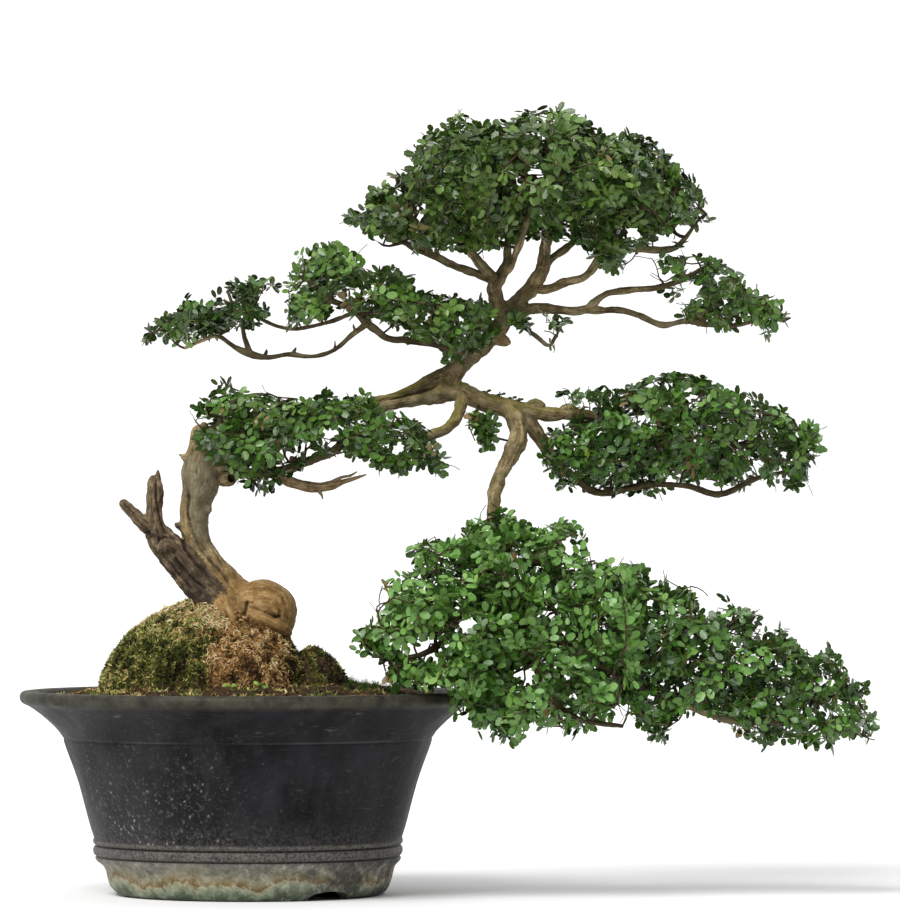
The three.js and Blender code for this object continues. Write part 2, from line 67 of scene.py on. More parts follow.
# A potted tree. Every length is in millimetres from the pot's own axis and the surface it stands on,
# +X to the right, -Y towards the viewer, until metres() puts it in the part's frame.
MM = 0.001
pot_low, pot_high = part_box("pot")
POT_AXIS = np.array([(pot_low.x + pot_high.x) / 2, (pot_low.y + pot_high.y) / 2, 0.0])

# The viewer's eye, the length of its lens in millimetres, and how many degrees it looks upwards
EYE = np.array([180.0, -5310.0, 320.0])
EYE_LENS = 237.36
EYE_TILT = 0.735


def metres(points):
    return np.asarray(points, float) * MM + POT_AXIS


def seen_flat(points):
    """Where the viewer sees points against the upright plane through the pot's axis."""
    points = np.atleast_2d(np.asarray(points, float))
    nearer = -EYE[1] / (points[:, 1] - EYE[1])
    return EYE[0] + (points[:, 0] - EYE[0]) * nearer, EYE[2] + (points[:, 2] - EYE[2]) * nearer


def smooth(low, high, value):
    """Rises softly from nothing at one value to one at another, which may be the lower of the two."""
    share = np.clip((np.asarray(value, float) - low) / (high - low), 0, 1)
    return share * share * (3 - 2 * share)


def lump(place, size, shift=(0, 0, 0)):
    """Noise at a place, in lumps of about a size."""
    return noise.noise(Vector(place) / size + Vector(shift))


def round_angles(count):
    return [2 * math.pi * turn / count for turn in range(count)]


def link(thing):
    bpy.context.scene.collection.objects.link(thing)
    return thing


def small_mesh(name, points, faces):
    """A mesh about its own middle, to be repeated elsewhere."""
    mesh = bpy.data.meshes.new(name)
    mesh.from_pydata([tuple(Vector(point) * MM) for point in points], [], faces)
    mesh.validate()
    return mesh


def mesh_piece(name, points, faces):
    """A mesh in its place in the part's frame, as an object."""
    mesh = bpy.data.meshes.new(name)
    mesh.from_pydata(metres(points).tolist(), [], [tuple(face) for face in faces])
    mesh.validate()
    return link(bpy.data.objects.new(name, mesh))


def tube_faces(base, rings, sides):
    """The faces of a closed tube whose rings of points follow each other from a base number."""
    faces = []
    for low in range(base, base + (rings - 1) * sides, sides):
        for turn in range(sides):
            after = (turn + 1) % sides
            faces.append((low + turn, low + after, low + sides + after, low + sides + turn))
    last = base + (rings - 1) * sides
    return faces + [tuple(range(base, base + sides))[::-1], tuple(range(last, last + sides))]


def give(mesh, name, values, domain="POINT"):
    """Stores numbers or vectors on a mesh, under the name by which a finish or a plan reads them."""
    values = np.asarray(values, np.float32)
    kind, key = ("FLOAT", "value") if values.ndim == 1 else ("FLOAT_VECTOR", "vector")
    mesh.attributes.new(name, kind, domain).data.foreach_set(key, values.ravel())


def points_of(mesh):
    places = np.zeros(len(mesh.vertices) * 3)
    mesh.vertices.foreach_get("co", places)
    return (places.reshape(-1, 3) - POT_AXIS) / MM


def put_points(mesh, points):
    mesh.vertices.foreach_set("co", metres(points).ravel())
    mesh.update()


def outward(mesh):
    """Turns a closed mesh's faces outwards."""
    work = bmesh.new()
    work.from_mesh(mesh)
    bmesh.ops.recalc_face_normals(work, faces=work.faces)
    work.to_mesh(mesh)
    work.free()


def settle(piece):
    """Makes what a piece's modifiers do to it plain, and removes them."""
    graph = bpy.context.evaluated_depsgraph_get()
    mesh = bpy.data.meshes.new_from_object(piece.evaluated_get(graph), depsgraph=graph)
    piece.modifiers.clear()
    mesh.name = piece.name
    return mesh


def shade_smooth(mesh):
    mesh.polygons.foreach_set("use_smooth", [True] * len(mesh.polygons))


def coat(piece, finish):
    """Gives a piece its one finish, and smooth shading."""
    piece.data.materials.clear()
    piece.data.materials.append(finish)
    shade_smooth(piece.data)


def belongs(piece, slot, *nodes):
    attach(piece, "root")
    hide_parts(*nodes)
    return piece


# ---- finishes: colours are given as red, green and blue of 255, and lengths in metres

def srgb(red, green, blue):
    def linear(value):
        value /= 255
        return value / 12.92 if value <= 0.04045 else ((value + 0.055) / 1.055) ** 2.4
    return (linear(red), linear(green), linear(blue), 1.0)


class Finish:
    """A material with its nodes. The shader's sockets are named with _ for a space."""

    def __init__(self, name, **sockets):
        self.material = bpy.data.materials.new(name)
        self.material.use_nodes = True
        self.tree = self.material.node_tree
        self.shader = self.tree.nodes["Principled BSDF"]
        self.wear(**sockets)
        self.place = self.node("TexCoord").outputs["Object"]

    def node(self, kind, inputs=None, **settings):
        made = self.tree.nodes.new("ShaderNode" + kind)
        for key, value in settings.items():
            setattr(made, key, value)
        for key, value in (inputs or {}).items():
            self.feed(made.inputs[key], value)
        return made

    def feed(self, socket, value):
        if isinstance(value, bpy.types.NodeSocket):
            self.tree.links.new(value, socket)
        else:
            socket.default_value = value

    def grain(self, scale, detail=3, roughness=0.55, vector=None, distortion=0.0):
        return self.node("TexNoise", {
            "Vector": vector or self.place, "Scale": scale, "Detail": detail,
            "Roughness": roughness, "Distortion": distortion,
        }).outputs["Fac"]

    def stretched(self, scale, location=(0, 0, 0), vector=None):
        inputs = {"Vector": vector or self.place, "Scale": scale, "Location": location}
        return self.node("Mapping", inputs).outputs["Vector"]

    def ramp(self, factor, *stops):
        """Runs through colours; each stop is its position and its red, green and blue."""
        made = self.node("ValToRGB", {"Fac": factor})
        elements = made.color_ramp.elements
        while len(elements) < len(stops):
            elements.new(0.5)
        for element, (position, *colour) in zip(elements, stops):
            element.position = position
            element.color = srgb(*colour)
        return made.outputs["Color"]

    def mix(self, share, under, over):
        made = self.node("Mix", {0: share, 6: under, 7: over}, data_type="RGBA")
        return made.outputs[2]

    def over(self, under, *layers):
        """Lays plain colours over what is there, each by its share, as in (share, red, green, blue)."""
        for share, *colour in layers:
            under = self.mix(share, under, srgb(*colour))
        return under

    def reckon(self, how, first, second=0.0, clamp=False):
        return self.node("Math", {0: first, 1: second}, operation=how, use_clamp=clamp).outputs[0]

    def plus(self, first, second):
        return self.reckon("ADD", first, second)

    def times(self, first, second):
        return self.reckon("MULTIPLY", first, second)

    def off(self, value, middle):
        """How far a value is from a middle one, to either side."""
        return self.reckon("ABSOLUTE", self.reckon("SUBTRACT", value, middle))

    def range(self, value, low, high, out_low=0.0, out_high=1.0):
        return self.node("MapRange", {
            "Value": value, "From Min": low, "From Max": high, "To Min": out_low, "To Max": out_high,
        }).outputs["Result"]

    def parts(self, vector):
        return self.node("SeparateXYZ", {"Vector": vector}).outputs

    def carried(self, name, output="Fac"):
        """What a mesh carries under a name."""
        return self.node("Attribute", attribute_name=name).outputs[output]

    def bump(self, height, strength, distance):
        made = self.node("Bump", {"Height": height, "Strength": strength, "Distance": distance})
        self.tree.links.new(made.outputs["Normal"], self.shader.inputs["Normal"])

    def wear(self, **sockets):
        for socket, value in sockets.items():
            self.feed(self.shader.inputs[socket.replace("_", " ")], value)
        return self.material


# Heights on the pot: its fine line, its two grooves, and over which its lip, beads and foot set in
FINE_LINE = 0.1382
GROOVES = (0.0438, 0.0343)
LIP_RISE = (0.166, 0.171)
BEADS_RISE = (0.0495, 0.0475)
FOOT_RISE = (0.0345, 0.0315)


def stoneware_finish():
    glaze = Finish("speckled_charcoal_stoneware", Specular_IOR_Level=0.11)
    grain, span, times = glaze.grain, glaze.range, glaze.times
    glaze.place = glaze.stretched((1, 1, 1), (-POT_AXIS[0], -POT_AXIS[1], 0))
    across, _, height = glaze.parts(glaze.place)
    blotches = grain(16, 5, 0.6)
    streaks = grain(55, 4, 0.6, glaze.stretched((1, 1, 0.16)))
    fine = grain(420, 4, 0.7)
    # paler towards the left, where water has run and dried
    dried = times(span(across, 0.02, -0.2), span(blotches, 0.34, 0.6, 0.05, 0.58))
    # crusts of lime in flecks, mostly low on the left, and a veil of it above the foot
    flecks = glaze.node("TexVoronoi", {
        "Vector": glaze.stretched((1, 1, 0.75)), "Scale": 210.0, "Randomness": 1.0}).outputs["Distance"]
    uneven = glaze.plus(flecks, span(grain(700, 2, 0.6), 0.3, 0.7, -0.12, 0.12))
    low_left = times(span(height, 0.15, 0.07, 0.1, 1), span(across, 0.03, -0.05, 0.14, 1))
    spots = times(span(uneven, 0.28, 0.14), times(low_left, span(grain(75, 4, 0.7), 0.5, 0.62, 0, 0.9)))
    veil = times(span(height, 0.075, 0.045, 0, 0.65), span(grain(300, 5, 0.7), 0.42, 0.68))
    scratches = grain(30, 6, 0.75, glaze.stretched((1, 1, 7)), 1.5)
    # pale smears under the lip, and faint grey crust that thickens low on the left
    smears = span(grain(34, 7, 0.75, glaze.stretched((1, 1, 1.6), (0.11, 0, 0)), 0.8), 0.61, 0.68, 0, 0.5)
    crusted = span(grain(260, 4, 0.8), 0.55, 0.66, 0, 0.6)
    # the fine line round the bowl holds pale dust
    line = span(glaze.off(height, FINE_LINE), 0.0011, 0.0004, 0, 0.6)
    body = glaze.over(
        glaze.ramp(blotches, (0.32, 9, 8, 10), (0.5, 18, 16, 19), (0.7, 38, 36, 40)),
        (span(streaks, 0.44, 0.68, 0, 0.55), 48, 47, 49),
        (span(fine, 0.55, 0.8, 0, 0.25), 58, 57, 58),
        (dried, 57, 56, 57),
        (spots, 156, 154, 150),
        (span(scratches, 0.6, 0.68, 0, 0.4), 92, 91, 91),
        (times(smears, span(height, 0.135, 0.15)), 128, 127, 124),
        (times(crusted, low_left), 118, 117, 115),
        (veil, 88, 86, 82),
        (times(line, span(blotches, 0.35, 0.6, 0.15, 1)), 84, 83, 83),
    )
    # greenish grey on the lip, and grey beads with dark grooves
    lip_tone = glaze.ramp(grain(60, 5, 0.65), (0.34, 36, 36, 30), (0.66, 82, 80, 66))
    bead_tone = glaze.ramp(fine, (0.35, 42, 41, 40), (0.62, 112, 109, 102))
    body = glaze.mix(span(height, *LIP_RISE, 0, 0.75), body, lip_tone)
    body = glaze.mix(span(height, *BEADS_RISE, 0, 0.85), body, bead_tone)
    for groove in GROOVES:
        body = glaze.over(body, (span(glaze.off(height, groove), 0.0011, 0.0005, 0, 0.85), 34, 32, 34))
    # the foot from its rest up: pale verdigris, a brown drip line, then tan
    ragged = grain(30, 6, 0.72, glaze.stretched((1, 1, 0.5)))
    edge = glaze.plus(height, span(ragged, 0.34, 0.66, -0.006, 0.006))
    crust = grain(110, 7, 0.85)
    sooty = times(span(across, 0.03, 0.075), span(grain(34, 6, 0.7), 0.42, 0.56))
    foot_tone = glaze.over(
        glaze.ramp(
            span(edge, 0.0, 0.036), (0.0, 62, 70, 54), (0.14, 94, 106, 84), (0.3, 140, 148, 124),
            (0.38, 160, 154, 126), (0.43, 116, 94, 56), (0.5, 134, 122, 92), (0.62, 138, 134, 114),
            (0.82, 122, 119, 108), (1.0, 100, 98, 94),
        ),
        (span(crust, 0.5, 0.62, 0, 0.65), 70, 66, 56),
        (times(span(crust, 0.475, 0.4), span(across, -0.02, 0.06, 0.35, 0.75)), 184, 182, 170),
        (times(sooty, 0.85), 54, 53, 55),
    )
    body = glaze.mix(span(height, *FOOT_RISE), body, foot_tone)
    raised = glaze.plus(times(spots, 0.6), times(blotches, 0.6))
    glaze.bump(glaze.plus(times(fine, 0.5), raised), 0.35, 0.0012)
    return glaze.wear(Base_Color=body, Roughness=span(streaks, 0.3, 0.7, 0.42, 0.62))


def wood_finish():
    wood = Finish("weathered_pepper_wood", Specular_IOR_Level=0.25)
    grain, span = wood.grain, wood.range
    dead, golden, grey = wood.parts(wood.carried("sort", "Vector"))
    dark_bark_and_painted_shade, film, pale = wood.parts(wood.carried("cast", "Vector"))
    relief = wood.carried("relief")
    along = wood.stretched((0.55, 0.55, 0.05), vector=wood.carried("grain", "Vector"))
    patches, crumbs = grain(28, 4, 0.6), grain(330, 3, 0.6)
    fibres = wood.plus(grain(1.0, 5, 0.65, along, 0.6), span(grain(95, 4, 0.65), 0.36, 0.64, -0.1, 0.1))
    lichen = grain(46, 5, 0.7, wood.stretched((1, 1, 1), (0.3, 0.1, 0.2)))
    bark = wood.over(
        wood.ramp(fibres, (0.34, 56, 45, 28), (0.5, 124, 106, 70), (0.67, 182, 164, 122)),
        (span(patches, 0.46, 0.62, 0, 0.6), 104, 96, 60),
        (span(lichen, 0.5, 0.62, 0, 0.5), 140, 134, 106),
    )
    gold = wood.over(
        wood.ramp(fibres, (0.26, 88, 64, 36), (0.47, 142, 111, 66), (0.72, 186, 154, 104)),
        (span(patches, 0.5, 0.72, 0, 0.45), 138, 98, 52),
    )
    olive = wood.ramp(fibres, (0.22, 92, 83, 63), (0.5, 122, 112, 88), (0.8, 150, 140, 112))
    low_down = span(wood.parts(wood.place)[2], 0.33, 0.29, 0.05, 0.75)
    bare = wood.over(
        wood.ramp(fibres, (0.28, 38, 30, 24), (0.5, 102, 86, 64), (0.72, 164, 144, 112)),
        (wood.times(span(grain(75, 5, 0.7), 0.4, 0.52), low_down), 54, 44, 38),
    )
    colour = bark
    for share, sort in ((golden, gold), (grey, olive), (dead, bare)):
        colour = wood.mix(share, colour, sort)
    # crumbs, painted shade of the leaves and the crown over bark that is darker on thin limbs, and a green
    # film, then painted light by the fork and on the bare branch
    colour = wood.over(
        colour, (span(crumbs, 0.5, 0.7, 0, 0.4), 66, 50, 32), (dark_bark_and_painted_shade, 44, 36, 24), (film, 122, 116, 48))
    # the colour of the painted light by the fork and on the bare branch
    painted_light_tone = wood.ramp(fibres, (0.36, 126, 102, 72), (0.5, 182, 156, 118), (0.66, 214, 192, 154))
    # painted shade in the clefts and a painted highlight on the ridges
    colour = wood.over(
        wood.mix(pale, colour, painted_light_tone),
        (span(relief, -0.6, -2.3, 0, 0.85), 40, 29, 19),
        (span(relief, 0.3, 1.6, 0, 0.25), 196, 172, 132),
    )
    wood.bump(wood.plus(fibres, wood.times(crumbs, 0.35)), 0.55, 0.0012)
    return wood.wear(Base_Color=colour, Roughness=span(fibres, 0.3, 0.7, 0.9, 0.7))


# How much a leaf's olive mark is when the leaf has dried
DRIED = 1.6


def leaf_finish():
    leaf = Finish("glossy_pepper_leaf", Specular_IOR_Level=0.5)
    span = leaf.range
    across, along, _ = leaf.parts(leaf.node("UVMap", uv_map="blade").outputs["UV"])
    stalk, under, shade = leaf.parts(leaf.carried("mark", "Vector"))
    olive = leaf.carried("olive")
    tint = leaf.reckon("ADD", leaf.carried("tint"), shade, clamp=True)
    fresh = leaf.ramp(
        tint, (0.0, 11, 29, 2), (0.3, 32, 68, 9), (0.6, 68, 116, 28), (0.85, 114, 162, 80),
        (0.96, 148, 188, 102), (1.0, 180, 204, 60),
    )
    dull = leaf.ramp(
        tint, (0.0, 17, 27, 2), (0.3, 41, 60, 9), (0.6, 75, 98, 26), (0.85, 114, 140, 58),
        (1.0, 158, 176, 66),
    )
    mottle = leaf.grain(520, 2, 0.5)
    off_middle = leaf.off(across, 0.5)
    midrib = span(off_middle, 0.06, 0.015, 0, 0.4)
    chevrons = leaf.reckon("SUBTRACT", along, leaf.times(off_middle, 0.9))
    veins = leaf.reckon("SINE", leaf.times(chevrons, 42.0))
    face = leaf.over(
        leaf.mix(olive, fresh, dull),
        (span(olive, DRIED - 0.4, DRIED - 0.1, 0, 0.9), 146, 112, 78),
        (span(mottle, 0.35, 0.7, 0, 0.3), 30, 58, 24),
        (midrib, 128, 164, 76),
        (span(veins, 0.6, 1.0, 0, 0.08), 120, 156, 88),
        # a pale band along each leaflet's margin is a painted highlight, where light catches the edges
        (span(off_middle, 0.3, 0.42, 0, 0.3), 122, 160, 78),
        (leaf.times(under, 0.3), 80, 106, 48),
    )
    stem = leaf.ramp(mottle, (0.3, 78, 92, 40), (0.7, 122, 130, 62))
    leaf.bump(leaf.plus(leaf.times(midrib, -1.0), leaf.times(veins, 0.15)), 0.35, 0.0004)
    return leaf.wear(Base_Color=leaf.mix(stalk, face, stem), Roughness=span(mottle, 0.3, 0.7, 0.24, 0.4))


def twig_finish():
    twig = Finish("dark_leafy_twig", Specular_IOR_Level=0.25)
    fine = twig.grain(240, 4, 0.6)
    twig.bump(fine, 0.4, 0.0006)
    colour = twig.ramp(fine, (0.3, 36, 28, 20), (0.55, 66, 52, 36), (0.75, 98, 84, 56))
    return twig.wear(Base_Color=colour, Roughness=0.8)


def earth_finish():
    earth = Finish("mossy_earth", Specular_IOR_Level=0.2)
    moss, straw, fibre = earth.parts(earth.carried("cover", "Vector"))
    fine = earth.grain(260, 5, 0.7)
    soil = earth.ramp(fine, (0.3, 30, 22, 15), (0.55, 72, 54, 36), (0.75, 120, 94, 62))
    green = earth.ramp(fine, (0.3, 24, 26, 9), (0.52, 64, 66, 24), (0.75, 128, 124, 60))
    green = earth.over(green, (earth.range(earth.grain(70, 4, 0.65), 0.5, 0.68, 0, 0.5), 88, 66, 34))
    pale = earth.ramp(fine, (0.3, 78, 66, 38), (0.52, 146, 132, 84), (0.75, 202, 190, 138))
    rooty = earth.ramp(fine, (0.3, 58, 38, 22), (0.52, 142, 102, 58), (0.75, 190, 150, 96))
    colour = soil
    for share, cover in ((fibre, rooty), (straw, pale), (moss, green)):
        colour = earth.mix(share, colour, cover)
    # painted shade in the soil's hollows, the deeper the darker
    colour = earth.over(colour, (earth.range(earth.carried("relief"), -0.3, -2.4, 0, 0.85), 24, 18, 11))
    earth.bump(fine, 0.9, 0.003)
    return earth.wear(Base_Color=colour, Roughness=0.95)


def litter_finish(name, *stops, roughness=0.9):
    """The finish of what lies and grows on the soil, its tone carried by each bit of it."""
    litter = Finish(name, Specular_IOR_Level=0.2)
    fine = litter.grain(400, 3, 0.6)
    colour = litter.ramp(litter.carried("tone"), *stops)
    colour = litter.over(colour, (litter.range(fine, 0.45, 0.7, 0, 0.35), 44, 34, 20))
    litter.bump(fine, 0.4, 0.0008)
    return litter.wear(Base_Color=colour, Roughness=roughness)


def mesh_screen_finish():
    net = Finish("green_plastic_net", Specular_IOR_Level=0.4)
    fine = net.grain(500, 3, 0.6)
    net.bump(fine, 0.2, 0.0003)
    colour = net.ramp(fine, (0.3, 34, 70, 48), (0.7, 56, 98, 70))
    return net.wear(Base_Color=colour, Roughness=net.range(fine, 0.3, 0.7, 0.4, 0.6))


STONEWARE = stoneware_finish()
WOOD = wood_finish()
LEAF = leaf_finish()
TWIG = twig_finish()
EARTH = earth_finish()
MOSS = litter_finish(
    "moss_green", (0.0, 13, 15, 4), (0.2, 40, 47, 14), (0.42, 98, 110, 42), (0.62, 158, 160, 82),
    (0.82, 208, 198, 138), (1.0, 220, 190, 122),
)
FIBRE = litter_finish(
    "tan_root_fibre", (0.0, 44, 30, 18), (0.25, 118, 84, 46), (0.5, 178, 140, 86), (0.75, 212, 178, 124),
    (1.0, 222, 210, 166),
)
CRUMB = litter_finish(
    "earth_and_bark_crumbs", (0.0, 30, 23, 17), (0.45, 74, 54, 36), (0.75, 128, 92, 58), (1.0, 186, 152, 112),
)
SEEDLING = litter_finish(
    "young_green_blade", (0.0, 34, 62, 22), (0.5, 62, 104, 36), (1.0, 120, 168, 60), roughness=0.5,
)
screen_mesh = frame["nodes"]["drain_screen"].data
screen_mesh.materials.clear()
screen_mesh.materials.append(mesh_screen_finish())


# ---- what repeats: trees of geometry nodes

class Plan:
    """A geometry node tree with named inputs, to be run on one mesh and made plain."""

    def __init__(self, name, **inputs):
        self.tree = bpy.data.node_groups.new(name, "GeometryNodeTree")
        face = self.tree.interface
        face.new_socket("Geometry", in_out="INPUT", socket_type="NodeSocketGeometry")
        face.new_socket("Geometry", in_out="OUTPUT", socket_type="NodeSocketGeometry")
        self.keys = {}
        for label, kind in inputs.items():
            made = face.new_socket(label, in_out="INPUT", socket_type="NodeSocket" + kind)
            self.keys[label] = made.identifier
        self.enter = self.tree.nodes.new("NodeGroupInput")
        self.leave = self.tree.nodes.new("NodeGroupOutput")

    def value(self, label):
        return self.enter.outputs[label]

    def node(self, kind, inputs=None, **settings):
        """Adds a node; its inputs are found by number, by identifier or by name."""
        made = self.tree.nodes.new(kind)
        for key, value in settings.items():
            setattr(made, key, value)
        by_key = {socket.identifier: socket for socket in made.inputs}
        for key, value in (inputs or {}).items():
            socket = made.inputs[key] if isinstance(key, int) else by_key.get(key) or made.inputs[key]
            if isinstance(value, bpy.types.NodeSocket):
                self.tree.links.new(value, socket)
            else:
                socket.default_value = value
        return made

    def out(self, kind, inputs=None, **settings):
        return self.node(kind, inputs, **settings).outputs[0]

    def reckon(self, how, first, second):
        return self.out("ShaderNodeMath", {0: first, 1: second}, operation=how)

    def chance(self, low, high, seed):
        """A number drawn for each point."""
        inputs = {"Min_001": low, "Max_001": high, "Seed": seed}
        return self.node("FunctionNodeRandomValue", inputs, data_type="FLOAT").outputs[1]

    def named(self, name, kind="FLOAT"):
        made = self.node("GeometryNodeInputNamedAttribute", {"Name": name}, data_type=kind)
        return made.outputs["Attribute"]

    def kinds(self, label):
        """The members of a collection, each to be picked on its own."""
        return self.out("GeometryNodeCollectionInfo", {
            "Collection": self.value(label), "Separate Children": True, "Reset Children": True})

    def finished(self, geometry, label):
        return self.out("GeometryNodeSetMaterial", {"Geometry": geometry, "Material": self.value(label)})

    def end(self, geometry):
        self.tree.links.new(geometry, self.leave.inputs["Geometry"])
        return self

    def run(self, name, source, **values):
        """Runs the tree on an object, and returns the plain mesh of what it makes as a new object."""
        maker = source.modifiers.new("plan", "NODES")
        maker.node_group = self.tree
        for label, value in values.items():
            maker[self.keys[label]] = value
        mesh = settle(source)
        mesh.name = name
        return link(bpy.data.objects.new(name, mesh))


# How far the tone of one sprig or crumb may be from that of the ground under it, and the seed of that
TONE_SPREAD = 0.33
TONE_SEED = 7


def scatter_plan():
    """Sprigs, fibres or crumbs stood at random on a surface, as thick as its cover says."""
    plan = Plan("scatter", Sprigs="Collection", Density="Float", Smallest="Float", Largest="Float",
                Tilt="Float", Seed="Int", Finish="Material")
    seed, tilt = plan.value("Seed"), plan.value("Tilt")
    spread = plan.node("GeometryNodeDistributePointsOnFaces", {
        "Mesh": plan.value("Geometry"), "Seed": seed,
        "Density": plan.reckon("MULTIPLY", plan.named("here"), plan.value("Density")),
    }, distribute_method="RANDOM")
    back = plan.reckon("MULTIPLY", tilt, -1.0)
    low = plan.out("ShaderNodeCombineXYZ", {0: back, 1: back, 2: 0.0})
    high = plan.out("ShaderNodeCombineXYZ", {0: tilt, 1: tilt, 2: 2 * math.pi})
    lean = plan.out("FunctionNodeRandomValue", {
        "Min": low, "Max": high, "Seed": seed}, data_type="FLOAT_VECTOR")
    stand = plan.out("FunctionNodeRotateRotation", {
        "Rotation": spread.outputs["Rotation"],
        "Rotate By": plan.out("FunctionNodeEulerToRotation", {"Euler": lean}),
    }, rotation_space="LOCAL")
    tone = plan.reckon("ADD", plan.named("lean"), plan.chance(-TONE_SPREAD, TONE_SPREAD, TONE_SEED))
    toned = plan.out("GeometryNodeStoreNamedAttribute", {
        "Geometry": spread.outputs["Points"], "Name": "tone", "Value": tone,
    }, data_type="FLOAT", domain="POINT")
    planted = plan.out("GeometryNodeInstanceOnPoints", {
        "Points": toned, "Instance": plan.kinds("Sprigs"), "Pick Instance": True, "Rotation": stand,
        "Scale": plan.chance(plan.value("Smallest"), plan.value("Largest"), seed)})
    real = plan.out("GeometryNodeRealizeInstances", {"Geometry": planted})
    return plan.end(plan.finished(real, "Finish"))


def foliage_plan():
    """Leaves hung on the points marked bearing, and twigs swept along the mesh's edges."""
    plan = Plan("foliage", Leaves="Collection", Sides="Int", Leaf_Finish="Material", Twig_Finish="Material")
    bears = plan.out("FunctionNodeCompare", {"A": plan.named("bearing"), "B": 0.5},
                     data_type="FLOAT", operation="GREATER_THAN")
    split = plan.node("GeometryNodeSeparateGeometry", {
        "Geometry": plan.value("Geometry"), "Selection": bears}, domain="POINT")
    hung = plan.out("GeometryNodeInstanceOnPoints", {
        "Points": split.outputs["Selection"], "Instance": plan.kinds("Leaves"), "Pick Instance": True,
        "Instance Index": plan.out("FunctionNodeFloatToInt", {"Float": plan.named("variety")}),
        "Rotation": plan.out("FunctionNodeEulerToRotation", {"Euler": plan.named("turn", "FLOAT_VECTOR")}),
        "Scale": plan.named("size")})
    real = plan.out("GeometryNodeRealizeInstances", {"Geometry": hung})
    ring = plan.out("GeometryNodeCurvePrimitiveCircle", {"Resolution": plan.value("Sides"), "Radius": 1.0})
    swept = plan.out("GeometryNodeCurveToMesh", {
        "Curve": plan.out("GeometryNodeMeshToCurve", {"Mesh": split.outputs["Inverted"]}),
        "Profile Curve": ring, "Scale": plan.named("girth"), "Fill Caps": True})
    both = plan.node("GeometryNodeJoinGeometry")
    for part in (plan.finished(real, "Leaf_Finish"), plan.finished(swept, "Twig_Finish")):
        plan.tree.links.new(part, both.inputs[0])
    return plan.end(both.outputs[0])


def kinds_of(name, meshes):
    """Holds small pieces as a collection that a plan can pick from."""
    holder = bpy.data.collections.new(name)
    bpy.context.scene.collection.children.link(holder)
    for number, mesh in enumerate(meshes):
        holder.objects.link(bpy.data.objects.new(f"{name}_{number}", mesh))
    return holder


def drop(*things):
    for thing in things:
        if isinstance(thing, bpy.types.Collection):
            drop(*list(thing.objects))
            bpy.data.collections.remove(thing)
        else:
            bpy.data.objects.remove(thing)


# ---- the pot

# The wall's outline, (radius, height), from the drain hole up the inside, over the lip and down to the foot
POT_PROFILE = [
    (13, 25), (60, 25), (112, 25), (119, 29), (124, 36), (132, 68), (139, 98), (146, 120), (153, 139),
    (163, 150), (176, 161), (184, 168), (187, 173), (188.2, 177), (190.4, 179.3), (193.6, 180),
    (196.8, 179.6), (199, 178.2), (200, 176), (200, 173), (199.2, 170.8), (197.6, 169.2), (195.4, 168),
    (192.8, 166.8), (188.8, 164), (182.6, 159.2), (176.4, 153.8), (170.8, 148.5), (166.6, 143.8),
    (164.3, 140.4), (163.4, 139.1), (162.8, 138.6), (162.7, 137.8), (162.9, 137.2), (162.2, 134),
    (159.8, 127), (156.4, 118), (152.8, 108), (149.4, 98), (145.8, 85), (142.2, 71), (139, 59), (136.8, 52.4),
    (136.3, 50.2), (136.8, 48.9), (137.1, 47.4), (136.7, 45.9), (135.8, 44.9), (134.7, 44.1), (134.7, 43.7),
    (135.9, 42.8), (136.7, 41.2), (137, 39.4), (136.6, 37.2), (135.8, 35.6), (134.1, 34.6), (134.1, 34.1),
    (135.1, 33), (134.9, 31.2), (133.4, 29.2), (130.8, 27.2), (128.8, 25), (127.4, 21.8), (126.2, 17),
    (125, 12), (123.2, 7.4), (121, 3.8), (118.4, 1.4), (115.6, 0.2), (113, 0), (110, 0), (108.7, 1),
    (107.4, 6), (105.7, 12), (60, 12), (13, 12),
]
POT_TURNS = 136
POT_CREASE = 38
ARCH_HALF_WIDTH = 21
ARCH_HEIGHT = 8
ARCH_STEPS = 16
ARCH_REACH = (98, 134)
ARCH_ANGLES = [math.radians(38 + 120 * number) for number in range(3)]


def lathe(profile, turns):
    points, faces = [], []
    count = len(profile)
    for angle in round_angles(turns):
        for radius, height in profile:
            points.append((radius * math.sin(angle), -radius * math.cos(angle), height))
    for turn in range(turns):
        here, there = turn * count, ((turn + 1) % turns) * count
        for row in range(count):
            after = (row + 1) % count
            faces.append((here + row, there + row, there + after, here + after))
    return points, faces


def foot_arch(angle):
    """A tunnel with a low rounded top, to be cut through the foot ring at an angle right of the front."""
    outline = [(-ARCH_HALF_WIDTH - 1, -3)]
    for step in range(ARCH_STEPS + 1):
        swing = math.pi * step / ARCH_STEPS
        outline.append((-ARCH_HALF_WIDTH * math.cos(swing), ARCH_HEIGHT * math.sin(swing) ** 0.7))
    outline.append((ARCH_HALF_WIDTH + 1, -3))
    ahead = Vector((math.sin(angle), -math.cos(angle), 0))
    aside = Vector((math.cos(angle), math.sin(angle), 0))
    points = [tuple(ahead * reach + aside * side + Vector((0, 0, height)))
              for reach in ARCH_REACH for side, height in outline]
    count = len(outline)
    faces = [tuple(range(count)), tuple(reversed(range(count, 2 * count)))]
    for row in range(count):
        after = (row + 1) % count
        faces.append((row, row + count, after + count, after))
    return points, faces


